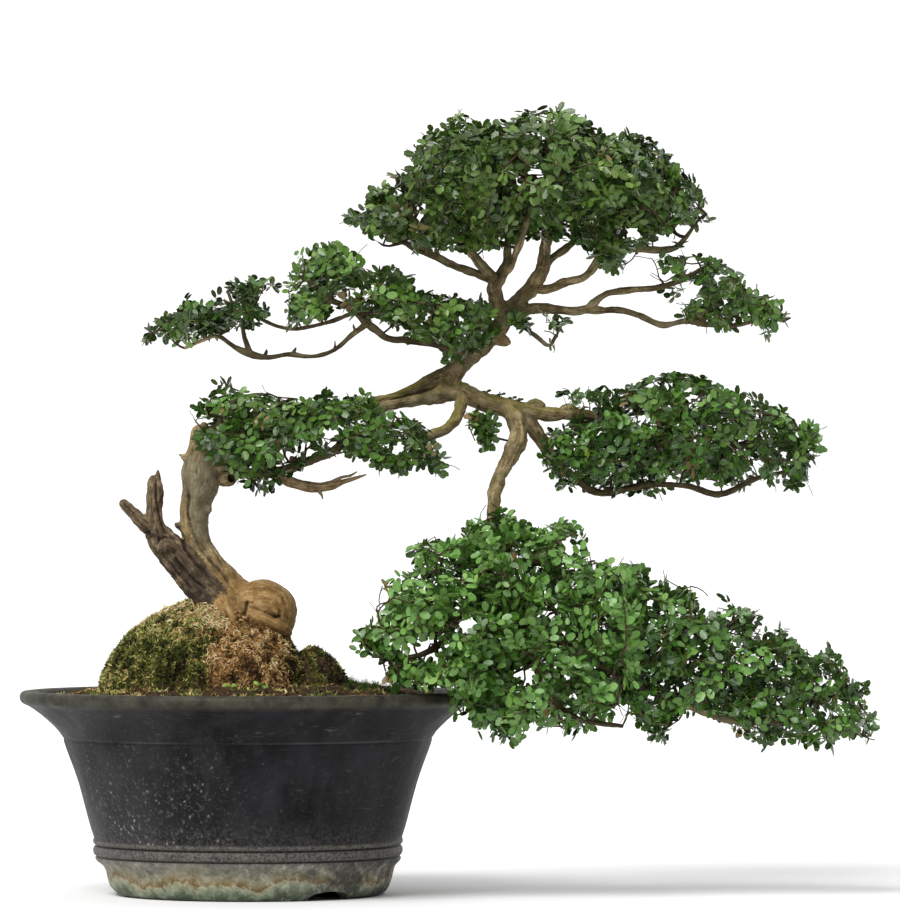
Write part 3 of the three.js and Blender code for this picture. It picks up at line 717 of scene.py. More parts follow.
def bowl():
    points, faces = lathe(POT_PROFILE, POT_TURNS)
    uneven = []
    for x, y, z in points:
        dent = (0.35 * noise.noise(Vector((x / 40, y / 40, z / 30)))
                + 0.12 * noise.noise(Vector((x / 9, y / 9, z / 9))))
        radius = math.hypot(x, y)
        swell = 1 + (dent / radius if radius > 100 and z > 14 else 0)
        # thrown by hand, so the foot stands a little right of the lip
        aside = 1.3 * float(smooth(174, 158, z)) + 1.7 * float(smooth(36, 20, z))
        uneven.append((x * swell + aside, y * swell, z))
    piece = mesh_piece("stoneware_bowl", uneven, faces)
    outward(piece.data)
    cutters = []
    for angle in ARCH_ANGLES:
        cutter = mesh_piece("arch", *foot_arch(angle))
        outward(cutter.data)
        cut = piece.modifiers.new("arch", "BOOLEAN")
        cut.operation, cut.solver, cut.object = "DIFFERENCE", "EXACT", cutter
        cutters.append(cutter)
    piece.data = settle(piece)
    drop(*cutters)
    coat(piece, STONEWARE)
    piece.data.set_sharp_from_angle(angle=math.radians(POT_CREASE))
    return belongs(piece, "pot", "pot")


bowl()


# ---- the wood

# Limbs through points [x, y, z, radius]; each starts inside the limb that bears it
LIMBS = {
    "trunk": [
        (-1, 8, 210, 18), (-3, 6, 230, 25), (-6, 4, 248, 26.5), (-12, 2, 262, 21), (-20, 1, 276, 14.6),
        (-30, 2, 290, 11.6), (-41, 4, 305, 12), (-46, 5, 322, 12.4), (-45.5, 5, 343, 13), (-41.5, 4, 360, 16),
        (-39.5, 4, 374, 18), (-36, 5, 388, 17), (-28, 8, 401, 14), (-10, 14, 411, 12), (17, 18, 415, 11),
        (47, 18, 419, 10), (82, 15, 425, 9), (113, 12, 432, 8), (137, 9, 437, 7.5), (162, 7, 441, 8),
        (181, 5, 445, 9), (194, 5, 443, 8.5), (206, 5, 437, 8), (224, 5, 432, 8.5), (244, 4, 429, 6.5),
        (267, 4, 425, 5.8), (288, 5, 425, 5.2), (310, 6, 422, 4.8), (335, 8, 414, 4.4), (357, 10, 402, 4),
        (387, 12, 395, 3.5), (420, 14, 395, 2.9), (454, 14, 399, 2.3), (488, 12, 396, 1.6),
    ],
    "left_strand": [
        (-37, 0, 416, 3.4), (-42, -1, 400, 5), (-49, -1, 376, 5.6), (-50, -1, 356, 5.8), (-52, -1, 342, 6.2),
        (-52, -1, 328, 6.2), (-50, -2, 314, 6.3), (-44, -3, 302, 6.4), (-35, -5, 290, 6.8), (-24, -8, 276, 7),
        (-9, -14, 262, 8),
    ],
    "knob": [
        (-12, 0, 248, 19), (1, -3, 252, 21.8), (12.5, -4, 253.4, 24.2), (20.5, -4, 251, 24.4),
        (23.5, -5, 243, 21.8), (24, -6, 234, 16), (20, -8, 227, 9),
    ],
    "root_shoulder": [
        (-24, -6, 268, 9), (-21, -15, 258, 10.5), (-17, -22, 247, 10), (-12, -28, 236, 8.5),
        (-8, -34, 222, 6),
    ],
    "trunk_knot": [(-36, 1, 341, 6), (-32.6, -3, 338.6, 3.8)],
    "seam": [(146, 9, 443, 4), (158, 9, 449, 4.6), (170, 9, 454, 6), (182, 8, 457, 7)],
    "top_burl": [(250, 4, 431, 4.5), (256, 3, 434, 4.6), (262, 3, 431, 4)],
    "far_burl": [(279, 5, 427, 4), (285, 4, 430, 4.4), (292, 5, 427, 3.5)],
    "knuckle": [(222, 1, 491, 6), (228, -2, 489, 5.6), (232, -4, 487.5, 4.4)],
    "crest": [(-36, 0, 374, 12), (-42, -2, 393, 10), (-43, -3, 404, 7.5), (-42, -3, 413, 3)],
    "thorn": [(-50, 0, 384, 5), (-57, 0, 387, 2.4), (-60, 0, 389, 0.8)],
    "second_limb": [
        (98, 13, 427, 5), (118, 10, 435, 4), (133, 8, 441, 4), (149, 6, 447, 4.6), (165, 5, 456, 5),
        (180, 4, 463, 6), (192, 3, 471, 6.4),
    ],
    "leader": [
        (177, 5, 443, 8), (180, 4, 453, 7.6), (188, 3, 464, 6.8), (199, 3, 475, 6.8), (209.5, 2, 485, 7.2),
        (219, 2, 496, 7.6), (227, 2, 506, 8), (230, 2, 515, 7.5),
    ],
    "crown_left": [
        (227, 2, 510, 7), (222, -2, 522, 6.6), (219, -4, 534, 7), (219, -4, 543, 6.4), (210, -6, 553, 4.6),
        (202, -8, 563, 4), (194, -11, 572, 3.6), (182, -18, 591, 3), (172, -24, 613, 2.3),
    ],
    "crown_far_left": [
        (219, -3, 541, 4), (208, -2, 547, 3.6), (194, 0, 552, 3.5), (181, 2, 557, 3.6), (168, 5, 564, 3.4),
        (157, 9, 568, 3.1), (139, 14, 577, 2.7), (121, 18, 587, 2.1), (105, 20, 594, 1.5),
    ],
    "crown_middle": [
        (219, -4, 538, 4.5), (226, 2, 552, 3.8), (231, 8, 561, 3.6), (231, 14, 573, 3.3), (235, 26, 595, 2.9),
        (238, 36, 622, 2.3), (234, 40, 648, 1.6),
    ],
    "crown_front": [
        (221, -5, 537, 4), (228, -12, 547, 3.2), (235, -20, 558, 3), (242, -32, 577, 2.7),
        (250, -44, 600, 2.1), (256, -50, 629, 1.5),
    ],
    "crown_right": [
        (228, 2, 511, 7), (235, 4, 520, 7), (242, 5, 527, 6.8), (255, 8, 539, 6.6), (262, 10, 554, 6),
        (264, 12, 569, 5.2), (266, 14, 588, 4.5), (269, 17, 610, 3.7), (271, 19, 635, 2.9),
        (269, 19, 660, 2.1), (268, 18, 678, 1.5),
    ],
    "crown_back": [
        (263, 10, 556, 4), (273, 20, 565, 3.2), (283, 30, 572, 2.9), (296, 42, 583, 2.5), (313, 52, 599, 2),
        (330, 58, 619, 1.5),
    ],
    "crown_far_right": [
        (255, 8, 537, 4.5), (266, 3, 535, 4), (281, -4, 541, 3.6), (296, -10, 544, 3.4), (306, -15, 552, 3.3),
        (314, -18, 565, 3.4), (327, -18, 570, 3.3), (345, -14, 570, 3.1), (366, -8, 569, 2.8),
        (380, -3, 572, 2.4), (389, 0, 581, 2), (396, 2, 591, 1.5),
    ],
    "shelf_upper": [
        (228, 2, 512, 6), (238, 4, 515, 5.6), (255, 3, 518, 4.8), (275, 0, 517, 4.1), (298, -3, 516, 3.7),
        (309, -4, 524, 3.1), (319, -5, 531, 2.9), (337, -4, 534, 2.8), (362, -2, 536, 2.6),
        (385, 1, 543, 2.3), (403, 4, 553, 1.9), (417, 6, 558, 1.4),
    ],
    "shelf_lower": [
        (296, -3, 516, 3.4), (314, -5, 516, 3), (331, -6, 516, 2.8), (345, -8, 512, 2.7),
        (368, -11, 503, 2.7), (388, -12, 506, 2.4), (412, -10, 503, 2.2), (435, -7, 503, 1.8),
        (457, -3, 510, 1.4),
    ],
    "drooping_twig": [
        (234, 0, 508, 3), (242, -4, 503, 2), (255, -8, 494, 1.7), (266, -10, 485, 1.5), (271, -11, 488, 1.3),
        (279, -10, 503, 0.9),
    ],
    "cascade": [
        (228, 4, 434, 7), (235, 0, 424, 7.8), (240, -8, 411, 8), (239, -15, 399, 8), (232, -22, 385, 6.9),
        (223, -30, 367, 6.2), (219, -37, 352, 5.9), (218, -43, 337, 5.5), (220, -50, 312, 5.2),
        (227, -56, 282, 5), (242, -60, 253, 4.8), (277, -64, 226, 4.5), (321, -66, 200, 4.3),
        (366, -66, 178, 4.1), (399, -64, 165, 3.9), (427, -62, 156, 3.5), (465, -60, 155, 2.8),
        (509, -56, 152, 2.1), (541, -52, 142, 1.5),
    ],
    "cascade_left": [
        (219, -48, 319, 4.2), (207, -57, 283, 3.7), (190, -66, 250, 3.4), (171, -78, 222, 3),
        (145, -90, 211, 2.4), (119, -98, 213, 1.6),
    ],
    "cascade_low": [
        (237, -59, 260, 4), (249, -76, 219, 3.5), (266, -84, 179, 3), (290, -86, 158, 2.5),
        (330, -84, 151, 2),
    ],
    "cascade_top": [
        (226, -54, 290, 4), (247, -46, 294, 3.2), (270, -38, 289, 3), (304, -30, 273, 2.7),
        (344, -26, 253, 2.4), (392, -26, 232, 2), (438, -30, 211, 1.4),
    ],
    "right_shelf_limb": [
        (242, 6, 427, 6.6), (249, 8, 418, 6.8), (257, 11, 407, 6.6), (266, 15, 393, 5.2), (277, 17, 380, 4.2),
        (291, 15, 368, 3.6), (303, 12, 358.5, 3.4), (315, 9, 354.5, 3.4), (330, 6, 357, 2.8),
        (350, 4, 361, 2.7), (370, 3, 362, 2.5), (390, 2, 360.5, 2.5), (408, 2, 355, 2.7),
        (421, 1, 353.5, 2.9), (436, 0, 360, 2.3), (453, 0, 368, 2), (470, 0, 372, 1.7), (489, 0, 376, 1.2),
    ],
    "hanging_limb": [
        (191, 3, 443, 6.4), (190, -4, 431, 5.6), (185, -11, 420, 5.2), (177, -17, 411, 4.8),
        (165, -22, 406, 4.6), (157, -25, 402, 4.4), (151, -27, 396, 2.6), (143, -28, 387, 2),
        (134, -30, 377, 1.4),
    ],
    "low_shelf": [
        (-36, 0, 378, 7), (-22, -4, 376, 5.8), (-6, -10, 373, 4.6), (13, -18, 372, 4.2), (35, -24, 375, 4.2),
        (57, -28, 383, 4), (78, -30, 391, 3.7), (89, -30, 401, 3.2), (110, -29, 409, 2.6),
        (137, -26, 417, 1.8),
    ],
    "bare_branch": [
        (17, -20, 371, 2.6), (27, -21, 369, 3.6), (36, -22, 365.5, 4.8), (46, -23, 362, 4.7),
        (57, -23, 359.5, 4.9), (67, -24, 359.5, 4.2), (77, -24, 361.5, 4), (85, -24, 364, 2.5),
        (94, -24, 366.5, 1.9), (106, -24, 370.5, 0.7),
    ],
    "bare_fork": [(77, -24, 363, 3), (84, -24, 368, 1.4), (92, -25, 369.5, 1.2), (98, -26, 373, 0.6)],
    "bare_spur": [(64, -24, 357, 2.4), (67, -25, 352.5, 1), (68, -25, 349, 0.5)],
    "low_shelf_back": [
        (-34, 6, 395, 6), (-27, -6, 407, 4), (-19, -16, 423, 3.2), (-6, -24, 437, 2.4), (13, -28, 441, 1.8),
    ],
    "left_arm": [
        (204, 2, 474, 5.6), (191, -6, 478, 4.8), (178, -10, 483, 4), (162, -13, 487, 3.4),
        (143, -13, 489, 3.1), (125, -11, 491, 3.1), (114, -9, 499, 3.3), (106, -8, 505, 3.5),
        (98, -7, 513, 3.1), (88, -7, 520, 2.8), (77, -7, 524, 2.5), (63, -7, 534, 2.1), (50, -7, 547, 1.5),
    ],
    "long_arm": [
        (107, -8, 505, 3), (100, -9, 499, 2.4), (91, -11, 492, 2.1), (81, -13, 483, 1.9), (69, -13, 477, 1.9),
        (55, -13, 475, 1.8), (37, -13, 477, 1.9), (20, -14, 474, 2.1), (4, -15, 477, 3.2),
        (-11, -16, 484, 2.1), (-25, -17, 493, 1.9), (-41, -19, 488, 1.6), (-54, -21, 482, 1.1),
    ],
    "long_arm_tip": [
        (4, -15, 477, 2.8), (-1, -13, 490, 2.1), (-4, -11, 503, 1.9), (-11, -9, 519, 1.6),
        (-17, -7, 533, 1.1),
    ],
    "first_spur": [(41, -13, 476, 1.6), (42.5, -14, 480, 1.3), (44, -14, 482.5, 0.5)],
    "second_spur": [(77, -13, 480, 1.4), (78.5, -14, 484.5, 0.9), (78.5, -14, 488.5, 0.4)],
    "third_spur": [(97, -9, 497, 1.5), (95, -10, 501, 1), (94.5, -10, 503.5, 0.5)],
    "fourth_spur": [(16, -14, 474.5, 1.6), (18, -15, 479, 1.2), (18, -15, 481, 0.6)],
    "high_arm": [
        (95, -6, 514, 2.4), (87, -1, 511, 2), (73, 4, 506, 1.8), (44, 7, 500, 1.7), (29, 7, 502, 1.7),
        (18, 7, 506, 1.7), (2, 7, 514, 1.5), (-20, 7, 525, 1.1),
    ],
    "deadwood": [
        (-8, -4, 250, 17), (-22, -6, 257, 17), (-37, -7, 270, 16), (-53, -8, 288, 15), (-67, -8, 304, 14),
        (-78, -8, 318, 11.4), (-81, -8, 333, 7.9), (-81, -8, 347, 7.7), (-80, -8, 359, 6.8),
        (-78.5, -8, 368, 3.6), (-78, -8, 376, 1),
    ],
    "deadwood_prong": [
        (-77, -8, 314, 7), (-82, -9, 321, 7.4), (-92, -10, 329, 6.3), (-101, -12, 338, 5.3),
        (-109, -14, 346, 4.4),
    ],
    "deadwood_knot": [(-68, -12, 304, 8.4), (-70, -18, 307, 8), (-70.5, -22.5, 307.5, 6.6)],
    "deadwood_spike": [(-84, -9, 350, 4), (-85, -10, 364, 2.6), (-83, -10, 371, 0.8)],
    "dark_knob": [(-55, 4, 324, 5), (-60, 2, 325.5, 3.8), (-63, 1, 326.5, 2.4)],
    "fold_root": [
        (-8, -17, 254, 6.5), (2, -22, 249, 6.2), (13, -25, 243.6, 6), (25, -23.5, 238.5, 6),
        (33, -18, 234.5, 5.6), (37, -10, 230, 4.2),
    ],
    "front_root": [(-13, -16, 253, 11), (-19, -27, 239, 7), (-23, -38, 222, 5), (-29, -47, 202, 3.4)],
    "right_root": [(1, -14, 246, 10), (4, -26, 228, 6.5), (13, -40, 208, 4.6), (19, -50, 190, 3)],
    "left_root": [(-22, 10, 253, 11), (-36, 26, 243, 7), (-50, 40, 227, 4.8), (-61, 50, 207, 3.2)],
    "back_root": [(3, 14, 250, 12), (13, 30, 237, 7.5), (27, 42, 222, 5), (36, 50, 202, 3.2)],
    "straight_stub": [(203, 2, 437, 5), (197, -7, 442, 3.2), (192, -13, 446, 2.2)],
}
DEAD = {"deadwood", "deadwood_prong", "deadwood_knot", "deadwood_spike", "dark_knob"}
ROOTS = {"knob", "fold_root", "root_shoulder", "front_root", "right_root", "left_root", "back_root"}
TAN = {"bare_branch", "bare_fork", "bare_spur", "knuckle"}
# Limbs that are fused with the trunk whatever their radius, and the radius from which the others are too
FUSED = DEAD | ROOTS | {"crest", "thorn", "left_strand"}
THICK = 4.6
THINNEST = 0.35
THIN_SIDES = 9
LIMB_STEP = 3.0
GRAIN_SHIFT = 137.0
FUSING_VOXEL = 1.35
FACES_KEPT = 0.48
# The stub with a rotted hollow, left of the low shelf
HOLLOW = {"centre": (-14.5, -15, 367), "ahead": (0.55, -0.72, 0.12), "radius": 6.6, "mouth": 3.6, "depth": 9}
HOLLOW_SIDES = 26
HOLLOW_SORT = (0.2, 0.35, 0.3)

# Clefts seen on the front of the wood: points (x, z), width and depth
CLEFTS = [
    ([
        (-54, 366), (-51, 348), (-52, 337), (-49, 325), (-45, 315), (-39, 304), (-30, 294), (-19, 281),
        (-10, 268),
    ], 2.0, 2.8),
    ([(-41, 402), (-44, 385), (-44, 366)], 1.6, 1.6),
    ([(-36, 300), (-27, 286), (-15, 272), (-6, 262)], 1.3, 1.4),
    ([(1, 260), (0, 252), (-3, 244)], 2.2, 3.8),
    ([(24.5, 246), (28, 245), (31.5, 245.6)], 1.7, 3.6),
    ([(2, 255), (11, 251.5), (21, 247.5), (27, 245)], 1.4, 1.7),
    ([(-80, 368), (-79, 350), (-76, 334), (-71, 318)], 1.6, 3.4),
    ([(-84, 357), (-84, 340), (-81, 326)], 1.3, 2.2),
    ([(-88, 320), (-83, 315)], 2.8, 4.0),
    ([(-79, 308), (-77, 314), (-71, 316.5), (-64, 315), (-61, 309)], 1.4, 3.0),
    ([(-64, 300), (-56, 288), (-44, 276), (-32, 268)], 1.8, 3.0),
    ([(-70, 296), (-58, 280), (-46, 268)], 1.6, 2.4),
    ([(-104, 340), (-94, 328)], 1.2, 1.8),
    ([(-58, 320), (-52, 304), (-41, 291), (-30, 279)], 2.4, 4.4),
    ([(113, 435), (132, 439), (147, 442.5), (162, 447), (173, 452)], 1.7, 3.4),
    ([(197, 442), (214, 437), (236, 431), (262, 428)], 1.2, 1.4),
    ([(-52, 330), (-46, 316), (-36, 303), (-24, 289), (-14, 277)], 1.0, 1.2),
    ([(-47, 352), (-47, 335), (-43, 322), (-35, 308)], 0.9, 1.0),
    ([(-22, 262), (-16, 250), (-12, 238)], 1.5, 1.7),
    ([(-4, 256), (-2, 247), (1, 241)], 1.4, 1.6),
]


def flowing(points, step):
    """A smooth run through the points, its places and radii, about one step apart."""
    given = np.array(points, float)
    last = len(given) - 1
    run = [given[0]]
    for start in range(last):
        before, here = given[max(start - 1, 0)], given[start]
        there, after = given[start + 1], given[min(start + 2, last)]
        parts = max(1, round(np.linalg.norm(there[:3] - here[:3]) / step))
        for part in range(1, parts + 1):
            t = part / parts
            run.append(0.5 * (2 * here + (there - before) * t
                              + (2 * before - 5 * here + 4 * there - after) * t**2
                              + (3 * here - before - 3 * there + after) * t**3))
    run = np.array(run)
    run[:, 3] = np.maximum(run[:, 3], THINNEST)
    return run


class Stems:
    """Tubes gathered to one mesh, with the grain that runs along each."""

    def __init__(self):
        self.points, self.faces, self.grain, self.sort, self.girth = [], [], [], [], []

    def add(self, name, run, sides, number):
        tangents = np.gradient(run[:, :3], axis=0)
        tangents /= np.linalg.norm(tangents, axis=1)[:, None]
        side = np.cross(tangents[0], (0.13, 0.97, 0.2))
        side /= np.linalg.norm(side)
        travelled = 0.0
        rings = []
        for index, (place, tangent) in enumerate(zip(run, tangents)):
            if index:
                travelled += np.linalg.norm(run[index, :3] - run[index - 1, :3])
            side = side - tangent * side.dot(tangent)
            side /= np.linalg.norm(side)
            rings.append((place[:3], place[3], side.copy(), np.cross(tangent, side), tangent, travelled))
        def cap(ring, sign, share, reach):
            """A narrower ring beyond a last one, which rounds the end off."""
            centre, radius, a, b, t, s = ring
            return (centre + t * sign * radius * reach, radius * share, a, b, t, s + sign * radius * reach)
        first, last = rings[0], rings[-1]
        rings = [cap(first, -1, 0.7, 0.35)] + rings + [cap(last, 1, 0.72, 0.4), cap(last, 1, 0.3, 0.62)]
        self.faces += tube_faces(len(self.points), len(rings), sides)
        # the grain of each limb is cut from another stretch of the same noise
        shift = number * GRAIN_SHIFT
        for centre, radius, a, b, _, s in rings:
            for angle in round_angles(sides):
                point = centre + (a * math.cos(angle) + b * math.sin(angle)) * radius
                self.points.append(point)
                self.grain.append((radius * math.cos(angle), radius * math.sin(angle), s + shift))
                self.sort.append(sort_of(name, point))
                self.girth.append(radius)


def sort_of(name, place):
    """How dead, how golden and how grey the wood is at a place."""
    x, _, z = place
    dead, golden, grey = float(name in DEAD), float(name in ROOTS), 0.0
    if name in TAN:
        dead, golden, grey = 0.2, 0.9, 0.4
    if name in ("trunk", "left_strand", "trunk_knot"):
        golden = float(1 - smooth(262, 312, z)) if x < 0 or z < 300 else 0.0
        if name == "left_strand":
            golden = max(golden, 0.3)
        elif x < -20:
            grey = float(smooth(296, 326, z) * (1 - smooth(392, 408, z)))
    return dead, golden, grey


def bark_depth(grain, sort, girth, place):
    """How far the bark stands out or is cut in."""
    u, v, s = grain
    dead, golden, grey = sort
    size = min(1.0, max(girth / 9, 0.16))
    ridges = 1 - 2 * abs(noise.noise(Vector((u / 5.0, v / 5.0, s / 40))))
    furrows = 1 - 2 * abs(noise.noise(Vector((u / 2.4 + 40, v / 2.4, s / 15))))
    lumps, knobs, rough = lump(place, 11), lump(place, 5.5, (3, 8, 1)), lump(place, 2.2)
    ridge = 0.55 + 0.8 * dead - 0.3 * grey
    depth = size * (ridge * (ridges - 0.6) + (0.32 + 0.45 * dead + 0.15 * golden) * (furrows - 0.5))
    depth += size * (0.95 * lumps + 0.5 * knobs) + (0.1 + 0.12 * size) * rough
    knots = max(0.0, lump(place, 12, (7, 2, 5)))
    living = (1 - dead) * (1 - min(1, golden + grey))
    depth += living * (0.55 * min(girth, 6) * knots + size * (0.5 * lumps + 0.5 * knobs) + 0.14 * rough)
    if dead > 0.5:
        depth -= 1.8 * size * max(0.0, lump(place, 6.5, (9, 4, 2))) ** 0.7
    return depth


def cleft_depth(places, normals):
    """How deep the front of the wood is cleft at each place."""
    depth = np.zeros(len(places))
    facing = smooth(0.25, -0.35, normals[:, 1])
    flat = places[:, [0, 2]]
    for line, width, deepest in CLEFTS:
        nearest = np.full(len(places), 1e9)
        share = np.zeros(len(places))
        line = np.array(line, float)
        for index in range(len(line) - 1):
            start, run = line[index], line[index + 1] - line[index]
            t = np.clip(((flat - start) @ run) / (run @ run), 0, 1)
            gap = np.linalg.norm(flat - (start + t[:, None] * run), axis=1)
            closer = gap < nearest
            nearest = np.where(closer, gap, nearest)
            share = np.where(closer, (index + t) / (len(line) - 1), share)
        taper = np.minimum(1, np.minimum(share, 1 - share) * 8 + 0.25)
        cut = deepest * taper * np.clip(1 - nearest / (width * (0.6 + 0.4 * taper)), 0, 1) ** 0.8
        depth = np.maximum(depth, cut * facing)
    return depth


def vertex_normals(mesh):
    values = np.zeros(len(mesh.vertices) * 3)
    mesh.vertex_normals.foreach_get("vector", values)
    return values.reshape(-1, 3)


def heavy_and_fine():
    """The limbs' stretches: the thick ones, which fuse with the trunk, and the thin ones."""
    heavy, fine = Stems(), Stems()
    for number, (name, route) in enumerate(LIMBS.items()):
        run = flowing(route, LIMB_STEP)
        thick = (run[:, 3] >= THICK) | (name in FUSED)
        turns = [index for index in range(1, len(run)) if thick[index] != thick[index - 1]]
        spans = list(zip([0] + turns, turns + [len(run)]))
        for start, stop in spans:
            if stop - start < 2 and len(spans) > 1:
                continue
            part = run[max(0, start - 4):min(len(run), stop + (3 if thick[start] else 0))].copy()
            if len(part) < 2:
                continue
            if thick[start]:
                if stop < len(run):
                    part[-3:, 3] *= np.array([0.97, 0.88, 0.7])
                heavy.add(name, part, int(np.clip(part[:, 3].max() * 2.4, 12, 48)), number)
            else:
                fine.add(name, part, THIN_SIDES, number)
    return heavy, fine


def casts(places, normals, sort, girth):
    """How dark the wood is, as darker thin bark and painted shade, how much green film it has, and how much
    painted light it takes by the fork and on the bare branch.
    """
    x, z = places[:, 0], places[:, 2]
    patch = np.array([lump(place, 22) for place in places])
    # the thinner a limb, the darker its bark; painted shade deep in the crown, low under the pads, on the
    # leader and left of the fork makes it darker still
    plain = 1 - np.clip(np.asarray(sort)[:, :2].max(axis=1), 0, 1)
    painted_crown_shade = smooth(85, 35, np.hypot(x - 205, z - 500))
    low = smooth(470, 445, z) * smooth(6.5, 4.8, girth) * np.maximum(
        smooth(190, 160, x), smooth(290, 300, x) * smooth(345, 350, z))
    low = np.maximum(low, 1.5 * smooth(250, 290, x) * smooth(250, 225, z))
    leader = smooth(446, 458, z) * smooth(520, 500, z)
    dark_bark_and_painted_shade = plain * (0.03 + 0.3 * smooth(5, 2.2, girth) + 0.2 * painted_crown_shade + 0.35 * low + 0.2 * leader
                    + 0.14 * smooth(185, 165, x)) * (1 + 0.6 * patch)
    aloft = np.maximum(smooth(40, 90, x), smooth(-30, -18, x) * smooth(310, 340, z))
    # the film lies on top of the right limb
    right_limb = smooth(90, 110, x) * smooth(0, 9, z - np.where(x > 212, 419, 402)) * smooth(462, 450, z)
    film = 0.62 * right_limb * smooth(-0.1, 0.7, normals[:, 2]) * (1 + 0.5 * patch)
    # painted light by the fork and on the bare branch, where the limbs lie in shadow; by the fork it also
    # lifts the painted shade
    fork = 0.5 * np.exp(-((x - 201) ** 2 + (z - 441) ** 2) / 130)
    branch = smooth(14, 22, x) * smooth(112, 106, x) * smooth(373, 367, z)
    pale = np.maximum(fork, 0.5 * branch * smooth(340, 348, z))
    return np.column_stack([dark_bark_and_painted_shade * aloft * (1 - 1.6 * fork), film, pale])


def finish_wood(piece, grain, sort, girth, clefts):
    mesh = piece.data
    places = points_of(mesh)
    normals = vertex_normals(mesh)
    depth = np.array([bark_depth(g, s, r, p) for g, s, r, p in zip(grain, sort, girth, places)])
    if clefts:
        depth -= cleft_depth(places, normals)
    put_points(mesh, places + normals * depth[:, None])
    give(mesh, "grain", grain)
    give(mesh, "sort", sort)
    give(mesh, "relief", depth)
    give(mesh, "cast", casts(places, normals, sort, girth))
    coat(piece, WOOD)
    return belongs(piece, "wood", "wood")


def trunk_and_branches():
    heavy, fine = heavy_and_fine()
    rough = mesh_piece("trunk_and_limbs", heavy.points, heavy.faces)
    fuse = rough.modifiers.new("fuse", "REMESH")
    fuse.mode, fuse.voxel_size = "VOXEL", FUSING_VOXEL * MM
    ease = rough.modifiers.new("ease", "SMOOTH")
    ease.factor, ease.iterations = 0.5, 3
    rough.data = settle(rough)
    tree = kdtree.KDTree(len(heavy.points))
    for index, place in enumerate(heavy.points):
        tree.insert(place, index)
    tree.balance()
    near = [tree.find(place)[1] for place in points_of(rough.data)]
    finish_wood(rough, *(np.array(values)[near] for values in (heavy.grain, heavy.sort, heavy.girth)), True)
    # flat stretches need fewer faces
    rough.modifiers.new("thin", "DECIMATE").ratio = FACES_KEPT
    rough.data = settle(rough)
    branches = mesh_piece("fine_branches", fine.points, fine.faces)
    finish_wood(branches, *(np.array(values) for values in (fine.grain, fine.sort, fine.girth)), False)


def hollow_stub():
    centre, ahead = Vector(HOLLOW["centre"]), Vector(HOLLOW["ahead"]).normalized()
    aside = ahead.cross(Vector((0, 0, 1))).normalized()
    above = aside.cross(ahead)
    radius, mouth, depth = HOLLOW["radius"], HOLLOW["mouth"], HOLLOW["depth"]
    # (radius, how far out), from the stub's foot over its rim and down into the hollow
    outline = [
        (radius * 0.9, -10), (radius, -3), (radius * 0.98, 1.5), (radius * 0.86, 3.2),
        (mouth * 1.15, 3.3), (mouth, 1.5), (mouth * 0.8, -depth + 4), (0.6, -depth + 2),
    ]
    rim = 4
    points, grain, relief = [], [], []
    for row, (radius, reach) in enumerate(outline):
        for angle in round_angles(HOLLOW_SIDES):
            place = centre + ahead * reach + (aside * math.cos(angle) + above * math.sin(angle)) * radius
            jitter = 0.7 * noise.noise(place / 3.5)
            outwards = (place - centre - ahead * reach).normalized()
            points.append(place + outwards * jitter if radius > 1 else place)
            grain.append((radius * math.cos(angle), radius * math.sin(angle), reach + 900))
            # rows inside the hollow get a deep relief, which the wood's finish turns into painted shade
            relief.append(-4.0 if row > rim else (-1.0 if row == rim else jitter))
    stub = mesh_piece("hollow_stub", points, tube_faces(0, len(outline), HOLLOW_SIDES))
    outward(stub.data)
    give(stub.data, "grain", grain)
    give(stub.data, "sort", [HOLLOW_SORT] * len(points))
    give(stub.data, "relief", relief)
    coat(stub, WOOD)
    belongs(stub, "wood", "wood")


trunk_and_branches()
hollow_stub()


# ---- the soil and what grows and lies on it

# Domes on the soil: their middles (x, y), how high they are, and how far they reach
MOUND = {"centre": (-24, 2), "height": 78, "left": 106, "right": 76, "deep": 92, "round": 0.6}
HUMP = {"centre": (57, 12), "height": 34, "left": 26, "right": 36, "deep": 42, "round": 1.0}
TAIL = {"centre": (92, 6), "height": 2.5, "left": 40, "right": 46, "deep": 44, "round": 0.6}
SOIL_RADIUS = 186.2
SOIL_GRID = 164
# (radius, height) down the side of the soil, inside the pot's wall
SOIL_SIDE = [(152.4, 139.4), (138.4, 98.4), (123, 36), (111, 27)]


def dome(x, y, shape):
    centre = shape["centre"]
    side = np.where(x < centre[0], shape["left"], shape["right"])
    share = np.hypot((x - centre[0]) / side, (y - centre[1]) / shape["deep"])
    return shape["height"] * np.clip(1 - share**2, 0, None) ** shape["round"]


def soil_height(x, y):
    fill = 170 + 14 * (1 - (np.hypot(x, y) / 189) ** 3)
    # washed out in front of the trunk's foot
    washed = 12 * np.exp(-((x + 2) / 36) ** 2 - ((y + 44) / 24) ** 2)
    mound = np.maximum(dome(x, y, MOUND) - washed, 0)
    return fill + np.maximum(mound, np.maximum(dome(x, y, HUMP), dome(x, y, TAIL)))


def patchy(x, y, size, seed):
    return np.array([noise.noise(Vector((a / size, b / size, seed))) for a, b in zip(x, y)])


def on_mound_at(x, y):
    return smooth(0.5, 6, dome(x, y, MOUND))


